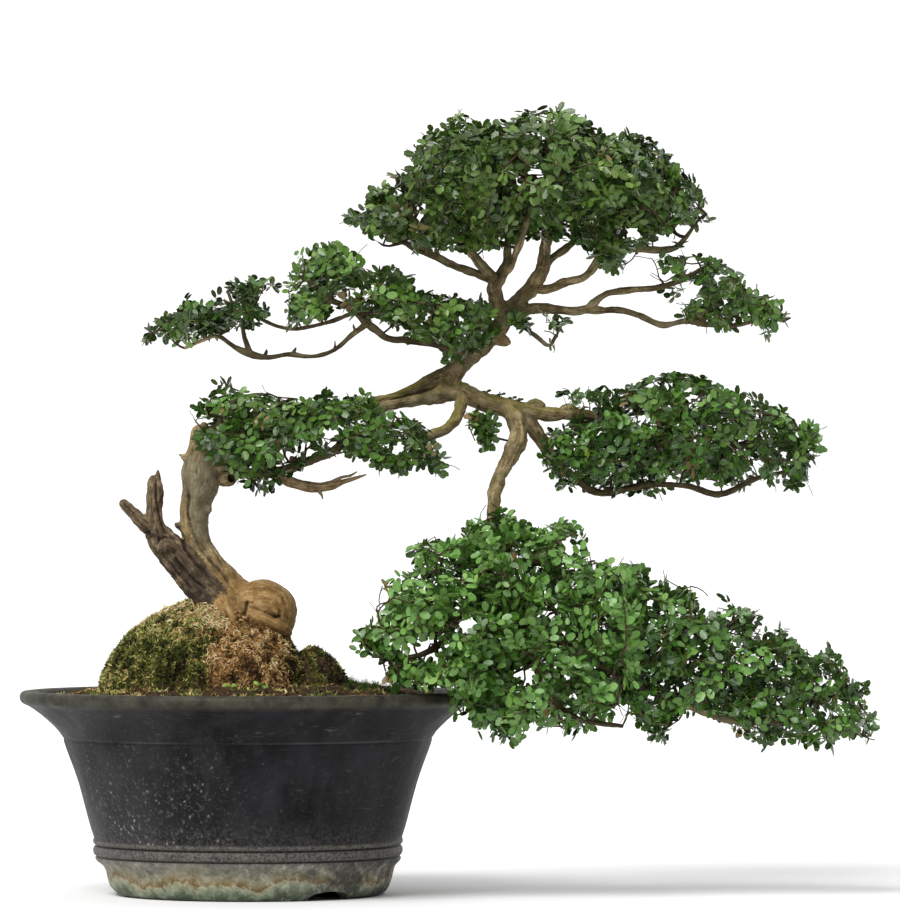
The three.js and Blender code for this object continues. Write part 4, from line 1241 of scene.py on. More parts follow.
def soil_covers(x, y):
    """Moss to the left, pale straw under the trunk, root fibre to the right, and how yellow the moss is."""
    on_mound = on_mound_at(x, y)
    high = dome(x, y, MOUND) / MOUND["height"]
    patch, small = patchy(x, y, 17, 3), patchy(x, y, 7, 9)
    straw = on_mound * smooth(0.62, 0.86, high + 0.16 * patch + 0.1 * small) * smooth(-6, -34, x)
    moss = on_mound * smooth(-20, -42, x + 16 * patch + 12 * small) * (1 - 0.8 * straw)
    fibre = (on_mound * (1 - moss) * smooth(-48, -26, x + 16 * patch + 10 * small)
             * smooth(46, 30, x + 12 * small))
    hump = smooth(0.8, 5, np.maximum(dome(x, y, HUMP), dome(x, y, TAIL))) * (1 - on_mound)
    flat = (1 - on_mound) * (1 - hump)
    for more in (
            hump * smooth(-0.3, 0.25, small) * 0.8,
            on_mound * smooth(28, 40, x) * smooth(-0.2, 0.2, patch),
            flat * smooth(0.05, 0.4, patch) * 0.7):
        moss = np.maximum(moss, more)
    outer_left = smooth(0.6, 0.2, high) * smooth(-50, -100, x)
    yellow = 0.33 + 0.5 * small + 0.3 * patch + 0.16 * outer_left + 0.4 * straw - 0.14 * smooth(20, 50, x)
    return moss, straw, fibre, np.clip(yellow, 0, 0.9)


def ground():
    """The soil as a closed piece, and for each of its points whether it is on top, its covers and relief."""
    share = np.linspace(-1, 1, SOIL_GRID)
    u, v = (side.ravel() for side in np.meshgrid(share, share, indexing="xy"))
    x = SOIL_RADIUS * u * np.sqrt(1 - v * v / 2)
    y = SOIL_RADIUS * v * np.sqrt(1 - u * u / 2)
    z = soil_height(x, y)
    covers = soil_covers(x, y)
    fibre = covers[2]
    relief = np.zeros(len(x))
    for index, place in enumerate(zip(x, y, z)):
        furrowed = 1 - 2 * abs(lump(place, 3.6))
        relief[index] = (1 + 0.4 * fibre[index]) * (2.0 * lump(place, 14) + 2.4 * lump(place, 6)
                                                    + 1.7 * furrowed - 1.0)
    edge = smooth(SOIL_RADIUS, SOIL_RADIUS - 8, np.hypot(x, y))
    relief *= 0.25 + 0.75 * edge
    points = np.column_stack((x, y, z + relief * edge)).tolist()
    n = SOIL_GRID
    faces = [(low, low + 1, low + n + 1, low + n) for row in range(n - 1)
             for low in range(row * n, row * n + n - 1)]
    # the grid's edge, all the way round
    above = [*range(n), *range(2 * n - 1, n * n, n), *range(n * n - 2, n * n - n - 1, -1),
             *range(n * (n - 2), 0, -n)]
    rim = [np.array(points[index][:2]) for index in above]
    for radius, height in SOIL_SIDE:
        below = list(range(len(points), len(points) + len(above)))
        points += [[*(place / np.linalg.norm(place) * radius), height] for place in rim]
        for index in range(len(above)):
            after = (index + 1) % len(above)
            faces.append((above[index], below[index], below[after], above[after]))
        above = below
    faces.append(tuple(reversed(above)))
    piece = mesh_piece("mossy_soil", points, faces)
    outward(piece.data)
    sunk = np.zeros(len(points) - len(x))
    top = np.concatenate([np.ones(len(x)), sunk])
    moss, straw, fibre, yellow, relief = (np.concatenate([values, sunk]) for values in (*covers, relief))
    give(piece.data, "cover", np.column_stack([moss, straw, fibre]))
    give(piece.data, "relief", relief)
    coat(piece, EARTH)
    return piece, top, moss, straw, fibre, yellow, relief


def blade(points, faces, foot, tip, width):
    """A closed little three-sided blade."""
    foot, tip = Vector(foot), Vector(tip)
    ahead = (tip - foot).normalized()
    aside = ahead.cross(Vector((0.3, 0.8, 0.5))).normalized()
    other = ahead.cross(aside)
    base = len(points)
    for angle in round_angles(3):
        points.append(foot + (aside * math.cos(angle) + other * math.sin(angle)) * width / 2)
    points.append(tip)
    for turn in range(3):
        faces.append((base + turn, base + (turn + 1) % 3, base + 3))
    faces.append((base + 2, base + 1, base))


def moss_sprig(draw):
    """Two crossing strands of moss, lying almost flat."""
    points, faces = [], []
    for _ in range(2):
        angle, lean = draw.uniform(0, 2 * math.pi), draw.uniform(1.4, 3.4)
        foot = (draw.uniform(-1.1, 1.1), draw.uniform(-1.1, 1.1), -0.8)
        tip = (foot[0] + lean * math.cos(angle), foot[1] + lean * math.sin(angle), draw.uniform(0.9, 2.5))
        blade(points, faces, foot, tip, draw.uniform(1.3, 1.9))
    return points, faces


def root_fibre(draw):
    bend = draw.uniform(-1.4, 1.4)
    points = []
    for t in (0, 0.5, 1):
        rise, width = math.sin(math.pi * t), 0.48 - 0.36 * abs(t - 0.45)
        centre = Vector((-1.9 + 3.8 * t, bend * rise, 0.2 + 0.9 * rise * abs(bend)))
        for angle in round_angles(3):
            points.append(centre + Vector((0, math.cos(angle), math.sin(angle))) * width)
    return points, tube_faces(0, 3, 3)


def grass_tuft(draw):
    points, faces = [], []
    for _ in range(7):
        angle, lean, tall = draw.uniform(0, 2 * math.pi), draw.uniform(0.5, 4.5), draw.uniform(4, 9)
        foot = (draw.uniform(-1.5, 1.5), draw.uniform(-1.5, 1.5), -1)
        tip = (foot[0] + lean * math.cos(angle), foot[1] + lean * math.sin(angle), tall)
        blade(points, faces, foot, tip, draw.uniform(0.5, 0.8))
    return points, faces


def crumb(draw):
    """A closed bit with five uneven corners round it, a crown and a foot."""
    long, flat = draw.uniform(1.0, 2.2), draw.uniform(0.5, 0.9)
    points = [Vector((0, 0, -flat))]
    for turn in range(5):
        angle = 2 * math.pi * (turn + draw.uniform(-0.2, 0.2)) / 5
        reach, rise = draw.uniform(0.75, 1.2), draw.uniform(-0.2, 0.4)
        points.append(Vector((long * reach * math.cos(angle), reach * math.sin(angle), rise)))
    points.append(Vector((draw.uniform(-0.4, 0.4), 0, flat)))
    faces = []
    for turn in range(5):
        after = (turn + 1) % 5
        faces += [(0, 1 + after, 1 + turn), (6, 1 + turn, 1 + after)]
    return points, faces


def sorts_of(name, make, seed, count):
    """Some bits of one kind, each drawn a little differently."""
    draw = random.Random(seed)
    return kinds_of(name, [small_mesh(f"{name}_{number}", *make(draw)) for number in range(count)])


def cover_the_ground():
    soil, top, moss, straw, fibre, yellow, relief = ground()
    places = points_of(soil.data)
    x, y = places[:, 0], places[:, 1]
    inner = top * (np.hypot(x, y) < SOIL_RADIUS - 7)
    plan = scatter_plan()
    sprigs, fibres = sorts_of("moss", moss_sprig, 11, 6), sorts_of("fibre", root_fibre, 23, 6)
    bits, blades = sorts_of("crumb", crumb, 31, 6), sorts_of("grass", grass_tuft, 41, 3)
    on_mound = on_mound_at(x, y)
    grassy = smooth(84, 94, x) * smooth(130, 116, x) * smooth(30, 10, y) * smooth(-60, -30, y)
    chips = smooth(-118, -132, x) * smooth(0.0, 0.3, patchy(x, y, 9, 5))
    rooty = np.clip(0.9 * fibre + 0.35 * straw + 0.05 * on_mound, 0, 1)
    mossy = np.clip(moss + 0.25 * fibre * smooth(0.1, 0.4, patchy(x, y, 8, 4)), 0, 1)
    crumbly = np.clip(1 - 0.5 * on_mound + 0.8 * fibre, 0, 1.3)
    # painted shade in the hollows and painted light on the crests, from the soil's relief, with a tone that
    # differs at random on top
    crest = 0.2 * relief + 0.34 * patchy(x, y, 3.8, 6)
    # name, what, where, tone there, how many a square metre, smallest, largest, tilt, seed, finish
    covers = [
        ("moss_tufts", sprigs, mossy, yellow + crest - 0.3 * grassy, 300000.0, 0.6, 1.45, 0.4, 3, MOSS),
        ("root_fibres", fibres, rooty, 0.46 + 0.44 * straw + crest, 215000.0, 0.6, 1.5, 0.7, 5, FIBRE),
        ("earth_crumbs", bits, crumbly, 0.34 + 0.42 * fibre + crest, 46000.0, 0.45, 1.5, 0.5, 9, CRUMB),
        ("bark_chips", bits, chips, 0.75 + 0 * x, 15000.0, 1.5, 3.0, 0.6, 13, CRUMB),
        ("grass_tufts", blades, grassy, 0.3 + 0 * x, 22000.0, 0.6, 1.25, 0.2, 17, SEEDLING),
    ]
    made = [soil]
    for name, kinds, here, lean, density, smallest, largest, tilt, seed, finish in covers:
        give(soil.data, "here", inner * here)
        give(soil.data, "lean", lean)
        made.append(plan.run(name, soil, Sprigs=kinds, Density=density, Smallest=smallest, Largest=largest,
                             Tilt=tilt, Seed=seed, Finish=finish))
        for layer in ("here", "lean"):
            soil.data.attributes.remove(soil.data.attributes[layer])
    drop(sprigs, fibres, bits, blades)
    for piece in made:
        belongs(piece, "soil", "soil")


cover_the_ground()


# ---- leaves

LEAFLET_LENGTH = 9.4
# As shares of a leaflet's length: half its outline, (half width, along), and how wide its veins are laid out
LEAFLET_SIDE = [(0.24, 0.18), (0.33, 0.6), (0.16, 0.97)]
BLADE_WIDTH = 0.72
BLADE_MIDDLE = (0.5, 0.5)
STALK_FOOT = 3.5
PAIR_STEP = 7.4
LEAF_CREASE = 60
# How many pairs of leaflets a leaf has, and its size; and how far each kind reaches
LEAF_KINDS = [
    (1, 1.0), (1, 1.1), (2, 1.0), (2, 0.92), (2, 1.07), (2, 0.97), (2, 1.03), (2, 0.88), (3, 1.0), (3, 0.92),
    (3, 0.96), (3, 0.86),
]
LEAF_REACH = [(STALK_FOOT + PAIR_STEP * pairs + 0.9 * LEAFLET_LENGTH) * size for pairs, size in LEAF_KINDS]


class Leaf:
    """The points and faces of leaves. Each face knows its place on the blade, and its mark is how much it is
    stalk, how much underside, and how much darker or paler than the rest."""

    def __init__(self):
        self.points, self.faces, self.blades, self.marks = [], [], [], []

    def face(self, corners, places, mark):
        self.faces.append(tuple(corners))
        self.blades.extend(places)
        self.marks.append(mark)

    def leaflet(self, foot, ahead, above, length, cup, shade):
        """A closed, thin, blunt leaflet with its two halves folded up from the midrib."""
        ahead = Vector(ahead).normalized()
        aside = ahead.cross(Vector(above)).normalized()
        above = aside.cross(ahead)
        edge = [(0, 0)] + LEAFLET_SIDE + [(-width, along) for width, along in reversed(LEAFLET_SIDE)]
        base, count = len(self.points), len(edge)
        rises = [cup if along else 0 for _, along in edge] + [0, -0.05]
        for (width, along), rise in zip(edge + [(0, 0.5)] * 2, rises):
            curl = rise - 0.1 * along * along
            self.points.append(Vector(foot) + (ahead * along + aside * width + above * curl) * length)
        spots = [(0.5 + width / BLADE_WIDTH, along) for width, along in edge]
        for index in range(count):
            after = (index + 1) % count
            here, there = spots[index], spots[after]
            one, other, top, under = base + index, base + after, base + count, base + count + 1
            self.face((one, other, top), (here, there, BLADE_MIDDLE), (0, 0, shade))
            self.face((other, one, under), (there, here, BLADE_MIDDLE), (0, 1, shade))

    def stalk(self, spine, width):
        """A closed three-sided stalk that tapers to nothing."""
        base = len(self.points)
        for share in (0, 0.5):
            for swing in round_angles(3):
                ring = Vector((math.sin(swing), 0, math.cos(swing))) * width * (1 - 0.6 * share)
                self.points.append(spine(share) + ring)
        self.points.append(spine(1.0))
        sides = []
        for turn in range(3):
            after = (turn + 1) % 3
            sides += [(turn, after, 3 + after, 3 + turn), (3 + turn, 3 + after, 6)]
        for corners in sides + [(2, 1, 0)]:
            self.face((base + corner for corner in corners), [BLADE_MIDDLE] * len(corners), (1, 0, 0))

    def dress(self, mesh):
        """Puts the places on the blade and the marks on the mesh that is made of the leaf."""
        mesh.uv_layers.new(name="blade").data.foreach_set("uv", np.array(self.blades, np.float32).ravel())
        give(mesh, "mark", self.marks, "FACE")
        shade_smooth(mesh)
        return mesh

    def piece(self, name, tint, olive):
        """A piece of its own, all in one tint."""
        made = mesh_piece(name, [tuple(point) for point in self.points], self.faces)
        self.dress(made.data)
        give(made.data, "tint", [tint] * len(self.points))
        give(made.data, "olive", [olive] * len(self.points))
        coat(made, LEAF)
        return made


def pinnate_leaf(draw, pairs):
    """A leaf that grows along +Y with its upper face to +Z."""
    leaf = Leaf()
    long = STALK_FOOT + PAIR_STEP * pairs
    droop, sway = draw.uniform(0.0, 0.25), draw.uniform(-2.2, 2.2)
    def spine(share):
        return Vector((sway * math.sin(share * 2.2), share * long, -droop * long * share * share))
    leaf.stalk(spine, 0.42)
    for pair in range(pairs):
        share = (STALK_FOOT + PAIR_STEP * (pair + 0.4)) / long
        for side in (-1, 1):
            length = LEAFLET_LENGTH * (0.74 + 0.24 * (pair + 1) / pairs) * draw.uniform(0.9, 1.1)
            swing = math.radians(draw.uniform(44, 78))
            ahead = (side * math.sin(swing), math.cos(swing), draw.uniform(-0.35, 0.45))
            above = (draw.uniform(-0.6, 0.6), draw.uniform(-0.5, 0.3), 1)
            foot = spine(share + draw.uniform(-0.04, 0.04)) + Vector((side * 0.3, 0, 0.1))
            leaf.leaflet(foot, ahead, above, length, draw.uniform(0.03, 0.12), draw.uniform(-0.1, 0.1))
    ahead = (draw.uniform(-0.4, 0.4), 1, draw.uniform(-0.4, 0.1))
    above, length = (draw.uniform(-0.5, 0.5), 0.1, 1), LEAFLET_LENGTH * draw.uniform(1.0, 1.12)
    leaf.leaflet(spine(0.985), ahead, above, length, draw.uniform(0.03, 0.1), draw.uniform(-0.08, 0.1))
    return leaf


def leaf_meshes():
    draw = random.Random(5)
    meshes = []
    for number, (pairs, size) in enumerate(LEAF_KINDS):
        leaf = pinnate_leaf(draw, pairs)
        mesh = leaf.dress(small_mesh(f"leaf_{number}", [point * size for point in leaf.points], leaf.faces))
        mesh.set_sharp_from_angle(angle=math.radians(LEAF_CREASE))
        meshes.append(mesh)
    return meshes


# The pads' outlines as the viewer sees them, (x, z)
OUTLINES = {
    "canopy": [
        (84, 599), (100, 608), (124, 639), (138, 661), (155, 674), (179, 687), (195, 693), (210, 678),
        (223, 687), (238, 698), (254, 696), (274, 699), (294, 692), (305, 683), (331, 678), (355, 670),
        (376, 658), (389, 645), (404, 628), (413, 599), (393, 585), (382, 570), (349, 570), (336, 548),
        (312, 553), (296, 577), (245, 579), (223, 568), (184, 566), (146, 568), (109, 575), (102, 588),
    ],
    "upper_shelf": [
        (348, 565), (403, 568), (422, 561), (443, 550), (469, 531), (479, 513), (487, 511), (463, 491),
        (452, 496), (430, 498), (416, 494), (394, 500), (385, 508),
    ],
    "right_shelf": [
        (257, 398), (268, 412), (286, 420), (300, 430), (296, 436), (283, 437), (281, 448), (296, 449),
        (311, 447), (330, 451), (352, 457), (372, 462), (409, 461), (431, 452), (453, 440), (477, 429),
        (502, 418), (515, 392), (499, 361), (476, 354), (438, 359), (422, 353), (396, 359), (352, 353),
        (315, 353), (301, 357), (284, 356), (272, 363), (262, 379),
    ],
    "cascade": [
        (219, 342), (262, 334), (293, 328), (306, 304), (340, 293), (387, 278), (415, 269), (446, 258),
        (470, 242), (486, 223), (517, 221), (533, 208), (548, 186), (558, 171), (564, 134), (539, 127),
        (501, 124), (468, 127), (433, 140), (393, 153), (365, 131), (350, 146), (287, 143), (260, 143),
        (231, 131), (207, 146), (179, 165), (142, 168), (123, 190), (105, 208), (92, 223), (114, 264),
        (117, 279), (142, 295), (145, 310), (157, 318), (198, 329),
    ],
    "far_left": [
        (-94, 489), (-84, 510), (-70, 515), (-61, 531), (-31, 531), (-20, 539), (-8, 545), (11, 546),
        (31, 539), (15, 532), (19, 523), (17, 504), (4, 502), (-6, 495), (-40, 489), (-55, 482), (-75, 485),
    ],
    "left_arm": [
        (38, 554), (49, 572), (68, 579), (84, 577), (101, 565), (119, 556), (141, 550), (145, 541),
        (161, 537), (190, 532), (209, 528), (227, 515), (212, 477), (181, 466), (172, 484), (145, 488),
        (117, 500), (95, 510), (60, 501), (31, 501), (29, 519),
    ],
    "low_shelf": [
        (-53, 423), (-31, 446), (-22, 457), (-4, 453), (20, 446), (45, 448), (68, 446), (88, 452), (111, 441),
        (126, 431), (146, 425), (163, 415), (172, 393), (180, 378), (172, 363), (157, 369), (130, 368),
        (115, 378), (88, 383), (71, 389), (38, 376), (30, 363), (12, 354), (-41, 389),
    ],
    "spray": [
        (231, 512), (251, 511), (279, 515), (284, 506), (277, 485), (274, 481), (266, 485), (253, 493),
        (240, 502),
    ],
    "hanging": [(190, 427), (207, 429), (221, 421), (222, 403), (212, 391), (198, 393), (189, 405)],
}
# Each leafy part: the CAD node, its outline, its span in x, its middle and half depth in y, how far apart its
# tufts grow, how far its leaves stick out, how pale and how olive they are, and the limbs that bear it
PARTS = [
    ("crown_left_leaves", "canopy", -999, 205, -4, 92, 18.8, 5, 0.43, 0.75,
     ("crown_left", "crown_far_left", "crown_middle", "crown_front")),
    ("crown_top_leaves", "canopy", 205, 318, 2, 106, 18.9, 5, 0.41, 0.75,
     ("crown_left", "crown_middle", "crown_front", "crown_right", "crown_back", "crown_far_right")),
    ("crown_right_leaves", "canopy", 318, 999, 6, 88, 18.8, 5, 0.38, 0.65, ("crown_far_right", "crown_back")),
    ("upper_shelf_leaves", "upper_shelf", -999, 999, 0, 50, 18.6, 5, 0.46, 0.4,
     ("shelf_upper", "shelf_lower")),
    ("drooping_spray", "spray", -999, 999, -12, 20, 13, 9, 0.45, 0.5, ("drooping_twig", "shelf_upper")),
    ("right_shelf_leaves", "right_shelf", -999, 999, 10, 76, 18.8, 5, 0.41, 0.25,
     ("right_shelf_limb", "trunk")),
    ("cascade_left_leaves", "cascade", -999, 200, -92, 70, 18.6, 5, 0.7, 0.05, ("cascade_left", "cascade")),
    ("cascade_middle_leaves", "cascade", 200, 335, -72, 85, 18.9, 5, 0.7, 0.05,
     ("cascade", "cascade_low", "cascade_top", "cascade_left")),
    ("cascade_right_leaves", "cascade", 335, 999, -50, 70, 18.8, 5, 0.46, 0.15,
     ("cascade", "cascade_low", "cascade_top")),
    ("far_left_leaves", "far_left", -999, 999, -18, 46, 17.4, 5, 0.2, 0.55,
     ("long_arm", "long_arm_tip", "high_arm")),
    ("left_arm_leaves", "left_arm", -999, 999, -3, 60, 18.4, 5, 0.52, 0.55,
     ("left_arm", "high_arm", "second_limb", "leader")),
    ("low_shelf_leaves", "low_shelf", -999, 999, -36, 60, 17.8, 5, 0.41, 0.45,
     ("low_shelf", "low_shelf_back", "hanging_limb", "crest")),
    ("hanging_spray", "hanging", -999, 999, -20, 18, 12.5, 9, 0.42, 0.4, ("trunk", "cascade")),
]
# Places where the light behind or a limb shows between the leaves, (x, z, radius). Leaves keep LEAF_CLEARANCE
# more from them, so a radius of nothing or a little less is a small gap too
OPENINGS = [
    (137, 649, 7.5), (148, 668, 5), (173, 686, 3.5), (230, 692, 5), (322, 680, 5), (239, 631, 3.5),
    (154, 602, 3), (122, 577, 3.5), (138, 570, 3.5), (339, 563, 4), (342, 585, 4.5), (367, 577, 4.5),
    (383, 585, 4.5), (380, 653, 3.5), (390, 644, 3.5), (256, 640, 2.5), (132, 626, 2.5), (210, 568, 2.5),
    (358, 550, 5), (375, 545, 4), (394, 531, 5), (394, 554, 4.5), (406, 497, 6), (379, 520, 3), (447, 546, 5),
    (457, 539, 6), (446, 497, 4.5), (473, 500, 3.5), (421, 545, 3), (454, 357, 6), (469, 355, 4.5),
    (506, 376, 5), (512, 386, 4.5), (422, 455, 3.5), (441, 446, 3.5), (489, 422, 1.5), (303, 433, 0),
    (319, 433, -1), (351, 422, 0), (357, 446, 1), (391, 443, 0), (373, 431, -1.5), (389, 433, -1.5),
    (379, 448, -1), (412, 440, -1), (319, 381, -1), (323, 375, -1), (320, 363, 1), (306, 363, 0),
    (336, 368, -1.5), (379, 363, 0), (370, 366, -1), (384, 373, -1.5), (408, 366, 1.5), (428, 361, 0),
    (439, 368, 0), (449, 381, 2.5), (432, 394, -1), (438, 404, -1), (441, 399, -1), (452, 404, -1.5),
    (478, 394, -1), (480, 387, 0), (470, 392, -1), (474, 375, 1), (278, 412, -1), (287, 429, 0),
    (299, 427, -0.5), (403, 150, 9.5), (424, 143, 5), (382, 146, 5), (340, 146, 4.5), (329, 163, 4.5),
    (246, 192, 5), (253, 141, 4.5), (112, 259, 7), (106, 248, 5), (114, 200, 5), (134, 290, 6),
    (153, 218, 5.5), (168, 221, 4), (171, 322, 6), (183, 324, 5), (198, 238, 3.5), (242, 338, 3.5),
    (253, 335, 5), (267, 248, 3.5), (286, 308, 4.5), (308, 302, 4.5), (329, 295, 3.5), (363, 285, 4.5),
    (379, 280, 4.5), (402, 269, 4.5), (410, 257, 6), (438, 260, 4.5), (463, 239, 3.5), (504, 222, 6),
    (539, 198, 6), (558, 169, 6), (562, 144, 5), (531, 129, 6), (482, 126, 5), (509, 125, 3.5),
    (-69, 485, 4.5), (-81, 486, 4.5), (-67, 520, 3.5), (16, 529, 3.5), (-12, 494, 3), (151, 539, 4.5),
    (32, 531, 3.5), (131, 496, 3.5), (109, 561, 3.5), (80, 515, 3.5), (121, 501, 3.5), (82, 450, 5),
    (28, 446, 5), (52, 447, 4.5), (91, 445, 4.5), (137, 392, 3), (163, 367, 5), (149, 369, 3.5),
    (105, 381, 5), (52, 392, 4), (34, 383, 3.5), (73, 406, 3), (-41, 418, 3.5), (-49, 415, 3.5),
    (280, 494, 5), (267, 496, 3), (257, 502, 3), (196, 396, 7), (198, 407, 3.5), (192, 422, 2.5),
]
GAP_X, GAP_Z, GAP_SIZE = (np.array(row, float) for row in zip(*OPENINGS))
GAP_RAGGEDNESS = 3.5
# Leaves that hang lower than the one keep further than the other from the pot's axis
OVER_THE_RIM = 186
PAST_THE_RIM = 205
# The share of a pad's height at which it is deepest, and at how many places its outline is measured for it
PAD_WAIST = 0.38
PAD_STEPS = 60


def sides_of(outline):
    return zip(outline, outline[1:] + outline[:1])


def within(outline, x, z):
    """Whether points lie in an outline."""
    inside = np.zeros(len(x), bool)
    for (ax, az), (bx, bz) in sides_of(outline):
        if az != bz:
            inside ^= ((az > z) != (bz > z)) & (x < (bx - ax) * (z - az) / (bz - az) + ax)
    return inside


def heights_at(outline, x):
    """The lowest and highest point of an outline at a distance along it."""
    found = [az + (bz - az) * (x - ax) / (bx - ax)
             for (ax, az), (bx, bz) in sides_of(outline) if (ax > x) != (bx > x)]
    return min(found), max(found)


class Pad:
    """The room that a leafy part fills."""

    def __init__(self, outline, left, right, middle, half):
        self.outline = OUTLINES[outline]
        xs, zs = zip(*self.outline)
        self.centre_x, self.half_x = (min(xs) + max(xs)) / 2, (max(xs) - min(xs)) / 2
        self.left, self.right = max(left, min(xs)), min(right, max(xs))
        self.middle, self.half = middle, half
        self.low, self.high = min(zs), max(zs)
        # the height that the pad thins out towards, front and back
        self.steps = np.linspace(min(xs) + 0.5, max(xs) - 0.5, PAD_STEPS)
        bounds = [heights_at(self.outline, step) for step in self.steps]
        self.spine = [low + PAD_WAIST * (high - low) for low, high in bounds]

    def holds(self, places, spare=0.0, gap=0.0):
        """Which places lie in the pad's lumpy room, by a margin, and clear of the openings by another."""
        places = np.atleast_2d(places)
        x, z = seen_flat(places)
        out = np.abs((x - self.centre_x) / (self.half_x * 1.04))
        lumpy = np.array([lump(place, 24) for place in places])
        half = self.half * np.sqrt(np.clip(1 - out**3, 0.02, 1)) * (0.92 + 0.3 * lumpy)
        t = (places[:, 1] - self.middle) / half
        shrink = np.sqrt(np.clip(1 - t * t, 0.001, 1)) ** 0.75
        spine = np.interp(x, self.steps, self.spine)
        inside = np.abs(t) < 1
        margins = ((0, 0), (spare, 0), (-spare, 0), (0, spare), (0, -spare))
        for aside, above in margins if spare else margins[:1]:
            inside &= within(self.outline, x + aside, spine + (z + above - spine) / shrink)
        clear = (places[:, 2] > OVER_THE_RIM) | (np.hypot(places[:, 0], places[:, 1]) > PAST_THE_RIM)
        ragged = np.array([noise.noise(Vector((a / 8, 0.5, b / 8))) for a, b in zip(x, z)])
        nearest = np.min(np.hypot(x[:, None] - GAP_X, z[:, None] - GAP_Z) - GAP_SIZE, axis=1)
        return inside & clear & (nearest + GAP_RAGGEDNESS * ragged > gap)


TUFT_GUESSES = 12000
TUFT_MARGIN = 3
AIR_POCKETS = -0.36


def tuft_places(pad, apart, draw):
    """Places for tufts, no two nearer than about one spacing, with pockets of air between them."""
    low = np.array([pad.left, pad.middle - pad.half * 1.1, pad.low])
    high = np.array([pad.right, pad.middle + pad.half * 1.1, pad.high])
    guesses = low + (high - low) * draw.random((TUFT_GUESSES, 3))
    guesses = guesses[pad.holds(guesses, spare=TUFT_MARGIN)]
    kept = guesses[:1]
    for guess in guesses:
        airy = lump(guess, 30, (5, 1, 7))
        if airy > AIR_POCKETS and np.min(np.linalg.norm(kept - guess, axis=1)) > apart * (1 - 0.2 * airy):
            kept = np.vstack([kept, guess])
    return kept


TWIG_STEP = 7.0


class Twigs:
    """Twigs from the limbs to every tuft, each from the nearest wood that is already there. Every place knows
    the one that it grows from, which is -1 on a limb, and how many tufts it bears."""

    def __init__(self, tufts, bearers, draw):
        self.places = np.vstack([flowing(LIMBS[name], TWIG_STEP)[1:, :3] for name in bearers])
        self.parents = [-1] * len(self.places)
        self.tips = []
        distance = np.array([np.min(np.linalg.norm(self.places - tuft, axis=1)) for tuft in tufts])
        for tuft in tufts[np.argsort(distance)]:
            self.reach(tuft, draw)
        self.counts = np.zeros(len(self.places))
        for node in self.tips:
            while node >= 0:
                self.counts[node] += 1
                node = self.parents[node]

    def reach(self, tuft, draw):
        gaps = np.linalg.norm(self.places - tuft, axis=1) * (1 + 0.06 * draw.random(len(self.places)))
        start = int(np.argmin(gaps))
        origin = self.places[start]
        length = np.linalg.norm(tuft - origin)
        steps = max(1, round(length / TWIG_STEP))
        bow = draw.normal(0, 0.07, 3) * length
        shares = [step / steps for step in range(1, steps + 1)]
        first = len(self.places)
        self.parents += [start] + list(range(first, first + steps - 1))
        self.places = np.vstack([self.places] + [
            origin + (tuft - origin) * t + bow * math.sin(math.pi * t) for t in shares])
        self.tips.append(len(self.places) - 1)

    def add_bare_end(self, start, outer, draw):
        """Three more steps outwards that bear no leaf."""
        way = outer / np.linalg.norm(outer) + draw.normal(0, 0.35, 3)
        for _ in range(3):
            way = way / np.linalg.norm(way) + draw.normal(0, 0.25, 3)
            self.places = np.vstack([self.places, self.places[start] + way * draw.uniform(3.5, 6)])
            self.parents.append(start)
            self.counts = np.append(self.counts, 0.4)
            start = len(self.places) - 1

    def lines(self):
        """The twigs' points, the edges between them and the girth at each."""
        points, edges, girths, number_of = [], [], [], {}
        def number(node):
            if node not in number_of:
                number_of[node] = len(points)
                points.append(self.places[node])
                count = self.counts[node]
                girths.append(min(2.2, 0.5 * count ** 0.42 if count else 0.5) * MM)
            return number_of[node]
        for node, parent in enumerate(self.parents):
            if parent >= 0:
                edges.append((number(node), number(parent)))
        return points, edges, girths


def leaf_turn(ahead, above):
    """The turning that lays a leaf along a direction with its face to another."""
    ahead = Vector(ahead).normalized()
    aside = ahead.cross(Vector(above)).normalized()
    above = aside.cross(ahead)
    return Matrix((aside, ahead, above)).transposed().to_euler()


LEAVES_PER_TUFT = 4
LEAF_STEP = 2.6
LEAF_TRIES = 10
# How far leaves keep from the openings, and the least stretch of a leaf that has to stay in the pad
LEAF_CLEARANCE = 5.0
LEAST_REACH = 9
# The shares of leaves that are bright yellow and that have dried, and the tint of a bright yellow one
YELLOW_SHARE = 0.0012
YELLOW = 0.97
DRIED_SHARE = 0.012
# The shares of places along the twigs that bear a leaf, and of tufts that a bare twig end sticks out of
TWIG_LEAF_SHARE = 0.2
BARE_END_SHARE = 0.14
TWIG_SIDES = 4
plan_of_foliage = foliage_plan()
leaf_kinds = kinds_of("leaf", leaf_meshes())


